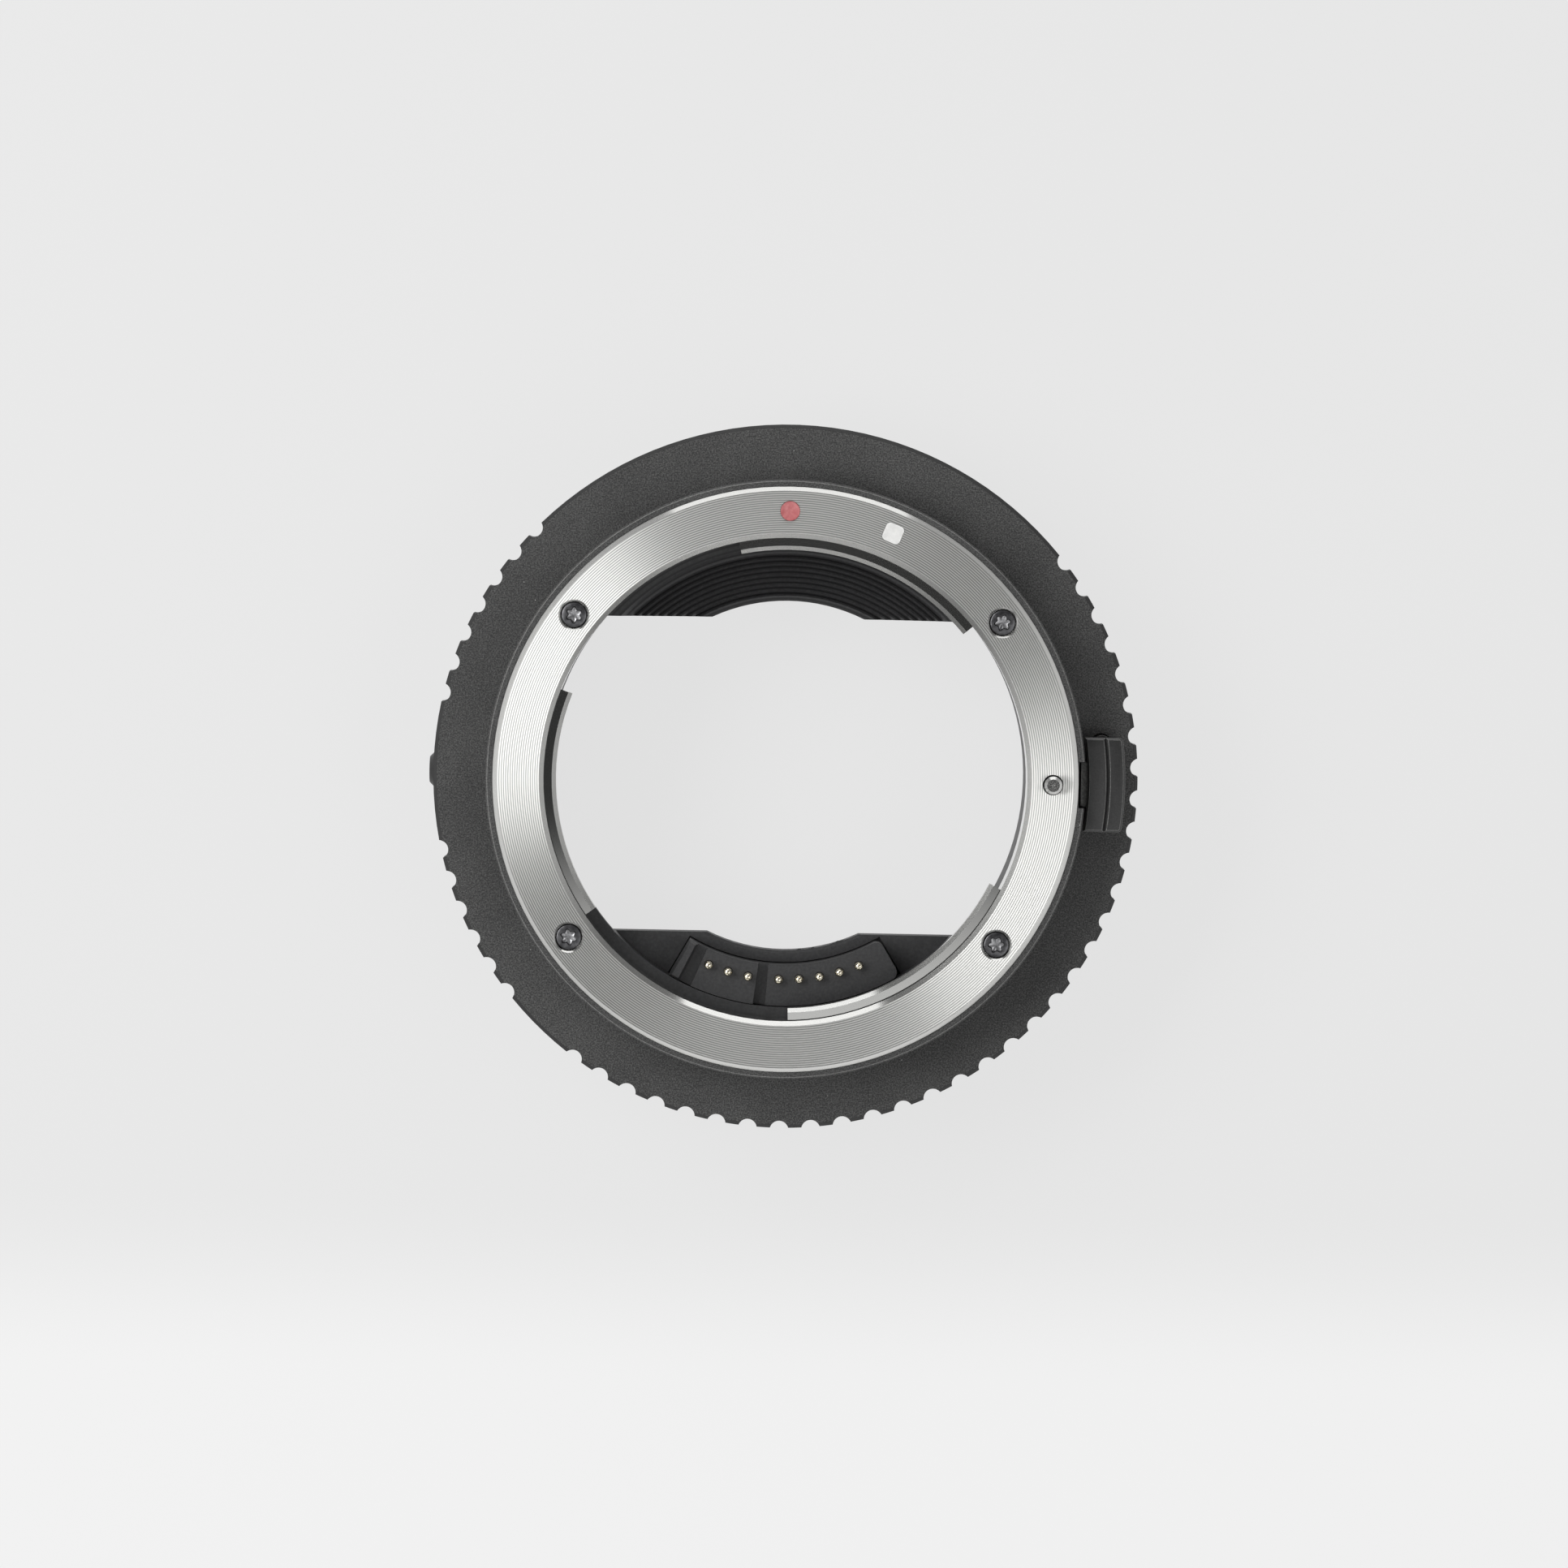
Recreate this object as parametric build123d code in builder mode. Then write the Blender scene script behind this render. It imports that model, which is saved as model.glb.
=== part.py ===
"""Electronic lens mount adapter: a three-lug lens bayonet in front, a four-lug camera bayonet behind.

Z is the optical axis and points to the lens. z = 0 is the seat that meets the camera.
+Y points to the red index dot and +X to the lens release. Angles are counted from +X
towards +Y, as seen from the lens. All lengths are millimetres, all angles degrees.
"""
import os
from math import cos, radians, sin

from build123d import *

os.makedirs("parts", exist_ok=True)

# Overall sizes
THROAT_R = 27.0  # bore of the lens bayonet, which every other radius follows
FLANGE_GAP = 17.3  # lens seat above camera seat
PUSH_GAP = 0.05  # radial play of pieces that are pushed together and screwed
SLIDE_GAP = 0.07  # radial play of a pin or button in its bore
OPEN_GAP = 0.3  # room round a moving piece in the open
STOP_GAP = 0.05  # room left at a stop

# Barrel, turned and milled from aluminium
RIM_MARGIN = 1.6  # rim beyond the lever
RIM_DROP = 6.4  # rim face below lens seat
RIM_THICK = 3.8
RIM_CHAMFER = 0.35
RIM_STEP = 1.4  # barrel inside the rim
BARREL_LIFT = 0.3  # barrel's foot above camera seat
COLLAR_LIP = 0.75
COLLAR_DROP = 0.5  # collar's top below lens seat
COLLAR_CHAMFER = 0.2
PLATE_THICK = 1.6
BARREL_WALL = 2.0
NOTCH_COUNT = 70  # finger notches on a full turn
NOTCH_R = 1.05
NOTCH_DEPTH = 0.83
SMOOTH_LANDS = ((8, 25), (33, 36), (43, 44))  # first and last notch left out at each land
BUTTON_LAND_LENGTH = 13.0  # rim is thicker around the function button
BUTTON_LAND_DROP = 3.2  # land's back edge below the button's centre

# Lens mount ring, turned brass with hard chrome
LENS_RING_WIDTH = 5.7
LENS_RING_THICK = 2.4
LENS_EDGE_BEVEL = 0.45
LENS_BORE_BEVEL = 0.5
SKIRT_WALL = 1.35
SKIRT_LENGTH = 3.55
LUG_HEIGHT = 1.35
LUG_DROP = 1.3  # lug's front below lens seat
LUG_THICK = 1.8
LUG_BEVEL = 0.45
LUG_SPANS = ((40.3, 102.0), (159.1, 215.1), (271.6, 333.9))
LENS_SCREW_INSET = 2.8  # from the ring's edge to the screws' circle
LENS_SCREW_ANGLE = 37.0  # from the X axis, in each quadrant
INDEX_INSET = 2.7  # from the ring's edge to the index marks
DOT_R = 1.08
DOT_DEPTH = 0.5
DOT_CROWN = 0.12
SQUARE_SIDE = 2.1
SQUARE_CORNER = 0.5
SQUARE_DEPTH = 0.3
SQUARE_ANGLE = 67.5

# Lens release
PIN_R = 1.08
PIN_INSET = 2.85  # from the ring's edge to the pin
PIN_RISE = 1.3  # tip above lens seat
PIN_CHAMFER = 0.28
PIN_TAIL_R = 0.75
RELEASE_TRAVEL = 1.8
LEVER_WIDTH = 4.2
LEVER_LENGTH = 10.55
LEVER_THICK = 2.4
LEVER_CORNER = 0.45
LEVER_CHAMFER = 0.22
GRIP_GROOVE_INSET = 1.9  # from the lever's outer edge
GRIP_GROOVE_WIDTH = 0.5
TONGUE_WIDTH = 4.9
TONGUE_STEP = 0.25  # tongue's top below the lever's
GUIDE_INSET = 1.6  # from the lever's inner edge to the guide's centre line
GUIDE_LENGTH = 10.9
GUIDE_WIDTH = 2.1
GUIDE_GAP = 0.14
BAY_WALL = 1.25  # cavity is wider around the release
BAY_LENGTH = 12.6
CARRIER_THICK = 1.0
CARRIER_WIDTH = 8.4
CARRIER_MARGIN = 1.15  # metal beyond the pin and beyond the guide's centre line
SPRING_INSET = 3.0  # from the guide's centre line to the spring's
SPRING_SPAN = 21.0  # between the feet of the bow
SPRING_WIDTH = 2.4
SPRING_THICK = 0.25

# Function button
BUTTON_R = 1.925
BUTTON_PROUD = 0.55  # cap beyond the rim
BUTTON_DROP = 2.3  # centre below the cavity's roof
BUTTON_TRAVEL = 0.4
BUTTON_FLANGE_R = 2.2
BUTTON_FLANGE_THICK = 0.85
BUTTON_EDGE = 0.45
SWITCH_DEPTH = 3.0
SWITCH_WIDTH = 3.8
SWITCH_PLUNGER_R = 0.6

# Light baffle, moulded in black plastic
BAFFLE_LEDGE = 1.1
BAFFLE_LIP_DROP = 9.4  # front of the opening's lip below lens seat
BAFFLE_STEP = 0.9  # funnel's start below the ledge
BAFFLE_WALL = 1.1
FUNNEL_WIDTH = 7.25  # from the throat to the opening's arcs
OPENING_FLAT = 1.95  # flats of the opening inside its arcs
OPENING_BEVEL = 0.3
LIP_LENGTH = 2.4  # straight part of the opening; it widens behind
OPENING_RELIEF = 0.6  # how much it widens
LEDGE_TAIL_SPAN = (212.0, 223.0)  # ledge beyond the floor, on the button's side
LEDGE_TAIL_THICK = 1.2
GROOVE_COUNT = 8
GROOVE_START = 0.9  # first groove from the opening
GROOVE_PITCH = 0.6
GROOVE_DEPTH = 0.35
POST_R = 1.3
POST_INSET = 2.0  # from the throat to the posts' circle
POST_ANGLE = 51.5  # from the X axis, in each quadrant

# Lens contacts
BLOCK_SETBACK = 1.4  # block's inner face from the opening
BLOCK_SPAN = (240.5, 301.0)
BLOCK_DROP = 6.5  # low contact face below lens seat
BLOCK_STEP = 0.5  # raised part above the low face
BLOCK_STEP_ANGLE = 262.8
BLOCK_RIB_ANGLE = 243.5  # rib at the raised part's end
BLOCK_RIB_HEIGHT = 0.7
RIB_DRAFT = 20  # degrees
BLOCK_SLOT_SPAN = 3.1  # slots after the rib and after the raised part, in degrees
BLOCK_SLOT_DEPTH = 0.6
BLOCK_CORNER = 0.9
CONTACT_INSET = 1.65  # contacts' circle from the block's inner face
CONTACT_PITCH = 5.8
CONTACT_FIRST_ANGLE = 248.8
CONTACT_GAP = 8.7  # between the third and fourth contacts
CONTACT_R = 0.46
CONTACT_RISE = 1.1
CONTACT_SHOULDER = 1.5  # shoulder below the contact face
CONTACT_FLANGE = 0.22
CONTACT_FLANGE_THICK = 0.5
CONTACT_TIP = 0.26  # bevel round the tip
TROUGH_MARGIN = 3.0  # block's end walls, in degrees
WINDOW_MARGIN = 0.3  # play at the block's ends, in degrees

# Circuit board
BOARD_BOSS_LENGTH = 3.4
BOARD_THICK = 1.0
BOARD_WIDTH = 3.9
BOARD_SPAN = (171.0, 310.0)
BOARD_INNER_SPAN = (238.0, 304.0)
BOARD_GAP = 0.4  # between board and baffle
BOARD_MARGIN = 1.0  # room at the ends of the board's tab, in degrees
BOARD_SCREW_ANGLES = (200.0, 256.0, 300.0)
BOARD_BOSS_R = 1.6
CHIP_LENGTH = 5.0
CHIP_WIDTH = 3.0
CHIP_THICK = 0.8
CHIP_ANGLE = 226.0

# Camera mount ring, turned brass with hard chrome
CAMERA_RING_INSET = 1.0  # ring's edge inside the barrel's
CAMERA_RING_THICK = 2.2
CAMERA_LIP = 1.6  # shoulder in front of the rear cover
SPIGOT_STEP = 3.9  # spigot's radius beyond the throat's
SPIGOT_WALL = 1.6
SPIGOT_LENGTH = 4.8
CAMERA_LUG_HEIGHT = 1.4
CAMERA_LUG_THICK = 1.8
CAMERA_LUG_RISE = 0.45  # lug's rear face above the spigot's end
CAMERA_LUG_COUNT = 4
CAMERA_LUG_SPAN = 44.0
CAMERA_LUG_FIRST = 12.0
CAMERA_SCREW_COUNT = 4
CAMERA_SCREW_INSET = 2.0  # from the ring's edge to the screws' circle
CAMERA_SCREW_FIRST = 45.0
CAMERA_BOSS_R = 2.2
LOCK_HOLE_R = 1.7
LOCK_HOLE_ANGLE = 60.0

# Rear cover and camera contacts
COVER_LENGTH = 4.5
COVER_PLATE_THICK = 2.9
COVER_RISE_GAP = 0.1  # below the baffle
COVER_STEP = 0.4  # cover's bore beyond the throat
PLATFORM_WIDTH = 3.4
PLATFORM_MARGIN = 4.8  # platform beyond the row of pads, in degrees
PADS_ANGLE = 270.0  # middle of the row of pads
PAD_COUNT = 12
PAD_PITCH = 4.7
PAD_INSET = 1.6  # from the throat to the pads' circle
PAD_LENGTH = 1.9
PAD_WIDTH = 1.3
PAD_THICK = 0.25
PAD_TAIL = 0.5

# Screws with a star recess
LENS_SCREW_HEAD = (1.45, 1.15)  # head radius and height
CAMERA_SCREW_HEAD = (1.45, 1.0)
SMALL_SCREW_HEAD = (1.1, 0.6)
SCREW_SHANK_R = 0.8
SMALL_SHANK_R = 0.55
SCREW_GRIP = 4.0  # shank in its thread
SMALL_GRIP = 2.2
HEAD_SINK = 0.2  # head below its face
HEAD_GAP = 0.1
HEAD_CHAMFER = 0.18
RECESS_SHARE = 0.6  # of the head's radius and of its height

# Camera index
INDEX_ANGLE = 226.3
INDEX_DOT_R = 0.8
INDEX_DOT_DEPTH = 0.3

# Levels along the axis
lens_seat_z = FLANGE_GAP
collar_top_z = lens_seat_z - COLLAR_DROP
ring_back_z = lens_seat_z - LENS_RING_THICK
skirt_back_z = ring_back_z - SKIRT_LENGTH
rim_front_z = lens_seat_z - RIM_DROP
rim_back_z = rim_front_z - RIM_THICK
cavity_top_z = rim_front_z - PLATE_THICK
camera_top_z = CAMERA_RING_THICK
baffle_top_z = skirt_back_z - HEAD_GAP
lip_z = lens_seat_z - BAFFLE_LIP_DROP
block_top_z = lens_seat_z - BLOCK_DROP
block_high_z = block_top_z + BLOCK_STEP
board_top_z = cavity_top_z - BOARD_BOSS_LENGTH
board_back_z = board_top_z - BOARD_THICK
lug_front_z = lens_seat_z - LUG_DROP
lever_back_z = rim_front_z + RELEASE_TRAVEL + STOP_GAP
lever_top_z = lever_back_z + LEVER_THICK
carrier_top_z = cavity_top_z - STOP_GAP
carrier_back_z = carrier_top_z - CARRIER_THICK
trough_top_z = block_top_z - CONTACT_SHOULDER
button_z = cavity_top_z - BUTTON_DROP
spigot_end_z = -SPIGOT_LENGTH

# Radii and places, from the throat outwards
lens_ring_r = THROAT_R + LENS_RING_WIDTH
lug_r = THROAT_R - LUG_HEIGHT
lens_screw_r = lens_ring_r - LENS_SCREW_INSET
index_r = lens_ring_r - INDEX_INSET
pin_x = lens_ring_r - PIN_INSET
skirt_r = THROAT_R + SKIRT_WALL
ring_pocket_r = lens_ring_r + PUSH_GAP
collar_r = ring_pocket_r + COLLAR_LIP
collar_bore_r = skirt_r + PUSH_GAP
lever_inner_r = collar_r + OPEN_GAP
lever_outer_r = lever_inner_r + LEVER_WIDTH
grip_groove_r = lever_outer_r - GRIP_GROOVE_INSET
guide_x = lever_inner_r + GUIDE_INSET
spring_x = guide_x - SPRING_INSET
rim_r = lever_outer_r + RIM_MARGIN
barrel_r = rim_r - RIM_STEP
cavity_r = barrel_r - BARREL_WALL
bay_r = barrel_r - BAY_WALL
notch_pitch = 360 / NOTCH_COUNT
button_flange_x = -(cavity_r**2 - BUTTON_FLANGE_R**2) ** 0.5 + STOP_GAP

# Radii of the camera side
camera_ring_r = barrel_r - CAMERA_RING_INSET
camera_pocket_r = camera_ring_r + PUSH_GAP
camera_screw_r = camera_ring_r - CAMERA_SCREW_INSET
spigot_r = THROAT_R + SPIGOT_STEP
spigot_bore_r = spigot_r - SPIGOT_WALL
camera_lip_r = spigot_bore_r - CAMERA_LIP
camera_lug_r = spigot_r + CAMERA_LUG_HEIGHT
cover_r = spigot_bore_r - PUSH_GAP
cover_bore_r = THROAT_R + COVER_STEP
cover_lip_r = camera_lip_r - PUSH_GAP
platform_inner_r = THROAT_R - PLATFORM_WIDTH
pad_circle_r = THROAT_R - PAD_INSET

# Radii of the baffle, the contacts and the board
baffle_r = skirt_r
baffle_ledge_r = THROAT_R - BAFFLE_LEDGE
opening_r = THROAT_R - FUNNEL_WIDTH
opening_half_height = opening_r - OPENING_FLAT
opening_wall_y = opening_half_height + BAFFLE_WALL
groove_first_r = opening_r + GROOVE_START
post_circle_r = THROAT_R - POST_INSET
block_inner_r = opening_r + BLOCK_SETBACK
block_outer_r = baffle_ledge_r - HEAD_GAP
contact_circle_r = block_inner_r + CONTACT_INSET
contact_flange_r = CONTACT_R + CONTACT_FLANGE
board_inner_r = baffle_r + BOARD_GAP
board_outer_r = board_inner_r + BOARD_WIDTH
board_screw_r = (board_inner_r + board_outer_r) / 2

# Angles of what repeats
pads_half_span = PAD_COUNT * PAD_PITCH / 2
platform_half_span = pads_half_span + PLATFORM_MARGIN
lens_screw_angles = (
    LENS_SCREW_ANGLE,
    180 - LENS_SCREW_ANGLE,
    180 + LENS_SCREW_ANGLE,
    360 - LENS_SCREW_ANGLE,
)
post_angles = (POST_ANGLE, 180 - POST_ANGLE, 180 + POST_ANGLE, 360 - POST_ANGLE)
contact_steps = [0, 1, 2] + [2 + CONTACT_GAP / CONTACT_PITCH + step for step in range(5)]
contact_angles = [CONTACT_FIRST_ANGLE + step * CONTACT_PITCH for step in contact_steps]


def polar(radius, angle):
    """Point on a circle round the axis."""
    return (radius * cos(radians(angle)), radius * sin(radians(angle)))


def radial_plane(angle):
    """Plane through the axis: local x runs outwards at the angle, local y along Z."""
    a = radians(angle)
    return Plane(origin=(0, 0, 0), x_dir=(cos(a), sin(a), 0), z_dir=(sin(a), -cos(a), 0))


def upright_plane(x, y):
    """Plane for a turned piece beside the axis: local x runs along X, local y along Z."""
    return Plane(origin=(x, y, 0), x_dir=(1, 0, 0), z_dir=(0, -1, 0))


def rear_plane(x, y, z):
    """Plane that faces the camera, for what is put in from behind."""
    return Plane(origin=(x, y, z), x_dir=(1, 0, 0), z_dir=(0, 0, -1))


def ring_sector(inner_r, outer_r, start, end):
    """Face between two circles and two radial lines."""
    with BuildSketch() as sector:
        with BuildLine():
            CenterArc((0, 0), outer_r, start, end - start)
            CenterArc((0, 0), inner_r, start, end - start)
            Line(polar(inner_r, start), polar(outer_r, start))
            Line(polar(inner_r, end), polar(outer_r, end))
        make_face()
    return sector.sketch


def star_screw(head, shank_r, shank_length):
    """Cap screw with a star recess: shank down, underside of its head on the XY plane."""
    head_r, head_height = head
    with BuildPart() as screw:
        Cylinder(head_r, head_height, align=(Align.CENTER, Align.CENTER, Align.MIN))
        Cylinder(shank_r, shank_length, align=(Align.CENTER, Align.CENTER, Align.MAX))
        with BuildSketch(Plane.XY.offset(head_height)):
            RegularPolygon(head_r * RECESS_SHARE, 3)
            RegularPolygon(head_r * RECESS_SHARE, 3, rotation=180)
        extrude(amount=-head_height * RECESS_SHARE, mode=Mode.SUBTRACT)
    return screw.part


# Barrel: grip rim, collar for the lens ring, and a cavity that opens to the camera side
with BuildPart() as barrel:
    with BuildSketch(Plane.XZ):
        with BuildLine():
            Polyline(
                (camera_pocket_r, BARREL_LIFT),
                (barrel_r, BARREL_LIFT),
                (barrel_r, rim_back_z),
                (rim_r, rim_back_z),
                (rim_r, rim_front_z - RIM_CHAMFER),
                (rim_r - RIM_CHAMFER, rim_front_z),
                (collar_r, rim_front_z),
                (collar_r, collar_top_z - COLLAR_CHAMFER),
                (collar_r - COLLAR_CHAMFER, collar_top_z),
                (ring_pocket_r, collar_top_z),
                (ring_pocket_r, ring_back_z),
                (collar_bore_r, ring_back_z),
                (collar_bore_r, cavity_top_z),
                (cavity_r, cavity_top_z),
                (cavity_r, camera_top_z),
                (camera_pocket_r, camera_top_z),
                close=True,
            )
        make_face()
    revolve(axis=Axis.Z)
    # Smooth land with the button, as deep as the button needs
    with BuildSketch(Plane.XY.offset(button_z - BUTTON_LAND_DROP)):
        with Locations((-rim_r, 0)):
            Rectangle(2 * (rim_r - cavity_r), BUTTON_LAND_LENGTH)
        Circle(rim_r, mode=Mode.INTERSECT)
        Circle((barrel_r + cavity_r) / 2, mode=Mode.SUBTRACT)
    extrude(amount=rim_back_z - button_z + BUTTON_LAND_DROP)
    # Bosses for the camera ring's screws and for the circuit board's
    with BuildSketch(Plane.XY.offset(camera_top_z)):
        with PolarLocations(camera_screw_r, CAMERA_SCREW_COUNT, start_angle=CAMERA_SCREW_FIRST):
            Circle(CAMERA_BOSS_R)
        Circle((barrel_r + cavity_r) / 2, mode=Mode.INTERSECT)
    extrude(amount=cavity_top_z - camera_top_z)
    with BuildSketch(Plane.XY.offset(board_top_z)):
        with Locations(*[polar(board_screw_r, angle) for angle in BOARD_SCREW_ANGLES]):
            Circle(BOARD_BOSS_R)
    extrude(amount=BOARD_BOSS_LENGTH)
    # Finger notches, with smooth lands between their groups
    with BuildSketch(Plane.XY.offset(rim_back_z)):
        for k in range(NOTCH_COUNT):
            if not any(first <= k <= last for first, last in SMOOTH_LANDS):
                with Locations(polar(rim_r - NOTCH_DEPTH + NOTCH_R, (k + 0.5) * notch_pitch)):
                    Circle(NOTCH_R)
    extrude(amount=RIM_THICK, mode=Mode.SUBTRACT)
    # Wider bay, guide slot and collar notch for the lens release
    with BuildSketch(Plane.XY.offset(camera_top_z)):
        with Locations((cavity_r, 0)):
            Rectangle(2 * (cavity_r - spring_x), BAY_LENGTH)
        Circle(bay_r, mode=Mode.INTERSECT)
    extrude(amount=cavity_top_z - camera_top_z, mode=Mode.SUBTRACT)
    with BuildSketch(Plane.XY.offset(cavity_top_z)):
        with Locations((guide_x, 0)):
            SlotOverall(GUIDE_LENGTH + 2 * GUIDE_GAP, GUIDE_WIDTH + 2 * GUIDE_GAP, rotation=90)
        with Locations((pin_x, 0)):
            Circle(PIN_R + SLIDE_GAP)
    extrude(amount=lens_seat_z - cavity_top_z, mode=Mode.SUBTRACT)
    with BuildSketch(Plane.XY.offset(rim_front_z)):
        with Locations((ring_pocket_r, 0)):
            Rectangle(2 * COLLAR_LIP, TONGUE_WIDTH + OPEN_GAP, align=(Align.MIN, Align.CENTER))
        Circle(ring_pocket_r, mode=Mode.SUBTRACT)
    extrude(amount=lens_seat_z - rim_front_z, mode=Mode.SUBTRACT)
    # Screw threads, drilled plain
    with BuildSketch(Plane.XY.offset(ring_back_z)):
        with Locations(*[polar(lens_screw_r, angle) for angle in lens_screw_angles]):
            Circle(SCREW_SHANK_R + PUSH_GAP)
    extrude(amount=-SCREW_GRIP - HEAD_GAP, mode=Mode.SUBTRACT)
    with BuildSketch(Plane.XY.offset(camera_top_z)):
        with PolarLocations(camera_screw_r, CAMERA_SCREW_COUNT, start_angle=CAMERA_SCREW_FIRST):
            Circle(SCREW_SHANK_R + PUSH_GAP)
    extrude(amount=SCREW_GRIP + HEAD_GAP, mode=Mode.SUBTRACT)
    with BuildSketch(Plane.XY.offset(board_top_z)):
        with Locations(*[polar(board_screw_r, angle) for angle in BOARD_SCREW_ANGLES]):
            Circle(SMALL_SHANK_R + PUSH_GAP)
    extrude(amount=SMALL_GRIP + HEAD_GAP, mode=Mode.SUBTRACT)
    # Button bore and the recess of the camera index
    with BuildSketch(Plane(origin=(-rim_r, 0, button_z), z_dir=(-1, 0, 0))):
        Circle(BUTTON_R + SLIDE_GAP)
    extrude(amount=-2 * (rim_r - cavity_r), mode=Mode.SUBTRACT)
    index_plane = Plane(
        origin=(*polar(rim_r, INDEX_ANGLE), (rim_front_z + rim_back_z) / 2),
        z_dir=(*polar(1, INDEX_ANGLE), 0),
    )
    with BuildSketch(index_plane):
        Circle(INDEX_DOT_R + PUSH_GAP)
    extrude(amount=-INDEX_DOT_DEPTH, mode=Mode.SUBTRACT)
barrel.part.label = "barrel"
export_step(barrel.part, "parts/barrel.step")

# Painted index for the camera, a filled recess in the rim
with BuildPart() as camera_index_dot:
    with BuildSketch(index_plane.offset(-INDEX_DOT_DEPTH)):
        Circle(INDEX_DOT_R)
    extrude(amount=INDEX_DOT_DEPTH - PUSH_GAP)
camera_index_dot.part.label = "camera_index_dot"
export_step(camera_index_dot.part, "parts/camera_index_dot.step")

# Lens mount ring with its three lugs
with BuildPart() as lens_mount_ring:
    with BuildSketch(Plane.XZ):
        with BuildLine():
            Polyline(
                (THROAT_R, skirt_back_z),
                (skirt_r, skirt_back_z),
                (skirt_r, ring_back_z),
                (lens_ring_r, ring_back_z),
                (lens_ring_r, lens_seat_z - LENS_EDGE_BEVEL),
                (lens_ring_r - LENS_EDGE_BEVEL, lens_seat_z),
                (THROAT_R + LENS_BORE_BEVEL, lens_seat_z),
                (THROAT_R, lens_seat_z - LENS_BORE_BEVEL),
                close=True,
            )
        make_face()
    revolve(axis=Axis.Z)
    for start, end in LUG_SPANS:
        with BuildSketch(radial_plane(start)):
            with BuildLine():
                Polyline(
                    (THROAT_R + SKIRT_WALL / 2, lug_front_z - LUG_THICK),
                    (THROAT_R + SKIRT_WALL / 2, lug_front_z),
                    (lug_r + LUG_BEVEL, lug_front_z),
                    (lug_r, lug_front_z - LUG_BEVEL),
                    (lug_r, lug_front_z - LUG_THICK),
                    close=True,
                )
            make_face()
        revolve(axis=Axis.Z, revolution_arc=end - start)
    # Sunk screw holes with a broken edge, the pin's hole and the recesses of the marks
    with BuildSketch(Plane.XY.offset(ring_back_z)):
        with Locations(*[polar(lens_screw_r, angle) for angle in lens_screw_angles]):
            Circle(SCREW_SHANK_R + HEAD_GAP)
        with Locations((pin_x, 0)):
            Circle(PIN_R + SLIDE_GAP)
    extrude(amount=LENS_RING_THICK, mode=Mode.SUBTRACT)
    head_r, head_height = LENS_SCREW_HEAD
    with Locations(*[(*polar(lens_screw_r, angle), lens_seat_z) for angle in lens_screw_angles]):
        Cylinder(
            head_r + HEAD_GAP,
            head_height + HEAD_SINK,
            align=(Align.CENTER, Align.CENTER, Align.MAX),
            mode=Mode.SUBTRACT,
        )
        Cone(
            head_r + HEAD_GAP,
            head_r + HEAD_GAP + HEAD_CHAMFER,
            HEAD_CHAMFER,
            align=(Align.CENTER, Align.CENTER, Align.MAX),
            mode=Mode.SUBTRACT,
        )
    with BuildSketch(Plane.XY.offset(lens_seat_z)):
        with Locations((0, index_r)):
            Circle(DOT_R + PUSH_GAP)
    extrude(amount=-DOT_DEPTH, mode=Mode.SUBTRACT)
    with BuildSketch(Plane.XY.offset(lens_seat_z)):
        with Locations(Location((*polar(index_r, SQUARE_ANGLE), 0), (0, 0, SQUARE_ANGLE))):
            RectangleRounded(
                SQUARE_SIDE + 2 * PUSH_GAP, SQUARE_SIDE + 2 * PUSH_GAP, SQUARE_CORNER + PUSH_GAP
            )
    extrude(amount=-SQUARE_DEPTH, mode=Mode.SUBTRACT)
lens_mount_ring.part.label = "lens_mount_ring"
export_step(lens_mount_ring.part, "parts/lens_mount_ring.step")

screw_seat_z = lens_seat_z - HEAD_SINK - head_height
lens_screw = star_screw(LENS_SCREW_HEAD, SCREW_SHANK_R, screw_seat_z - ring_back_z + SCREW_GRIP)
with BuildPart() as lens_mount_screws:
    with Locations(*[(*polar(lens_screw_r, angle), screw_seat_z) for angle in lens_screw_angles]):
        add(lens_screw)
lens_mount_screws.part.label = "lens_mount_screws"
export_step(lens_mount_screws.part, "parts/lens_mount_screws.step")

# Red dot: a low domed bead of enamel
with BuildPart() as red_index_dot:
    crown_r = (DOT_R**2 + DOT_CROWN**2) / (2 * DOT_CROWN)
    with Locations((0, index_r, lens_seat_z - DOT_DEPTH)):
        Cylinder(DOT_R, DOT_DEPTH + DOT_CROWN, align=(Align.CENTER, Align.CENTER, Align.MIN))
    with Locations((0, index_r, lens_seat_z + DOT_CROWN - crown_r)):
        Sphere(crown_r, mode=Mode.INTERSECT)
red_index_dot.part.label = "red_index_dot"
export_step(red_index_dot.part, "parts/red_index_dot.step")

# White square mark
with BuildPart() as white_index_mark:
    with BuildSketch(Plane.XY.offset(lens_seat_z - SQUARE_DEPTH)):
        with Locations(Location((*polar(index_r, SQUARE_ANGLE), 0), (0, 0, SQUARE_ANGLE))):
            RectangleRounded(SQUARE_SIDE, SQUARE_SIDE, SQUARE_CORNER)
    extrude(amount=SQUARE_DEPTH)
white_index_mark.part.label = "white_index_mark"
export_step(white_index_mark.part, "parts/white_index_mark.step")

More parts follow.
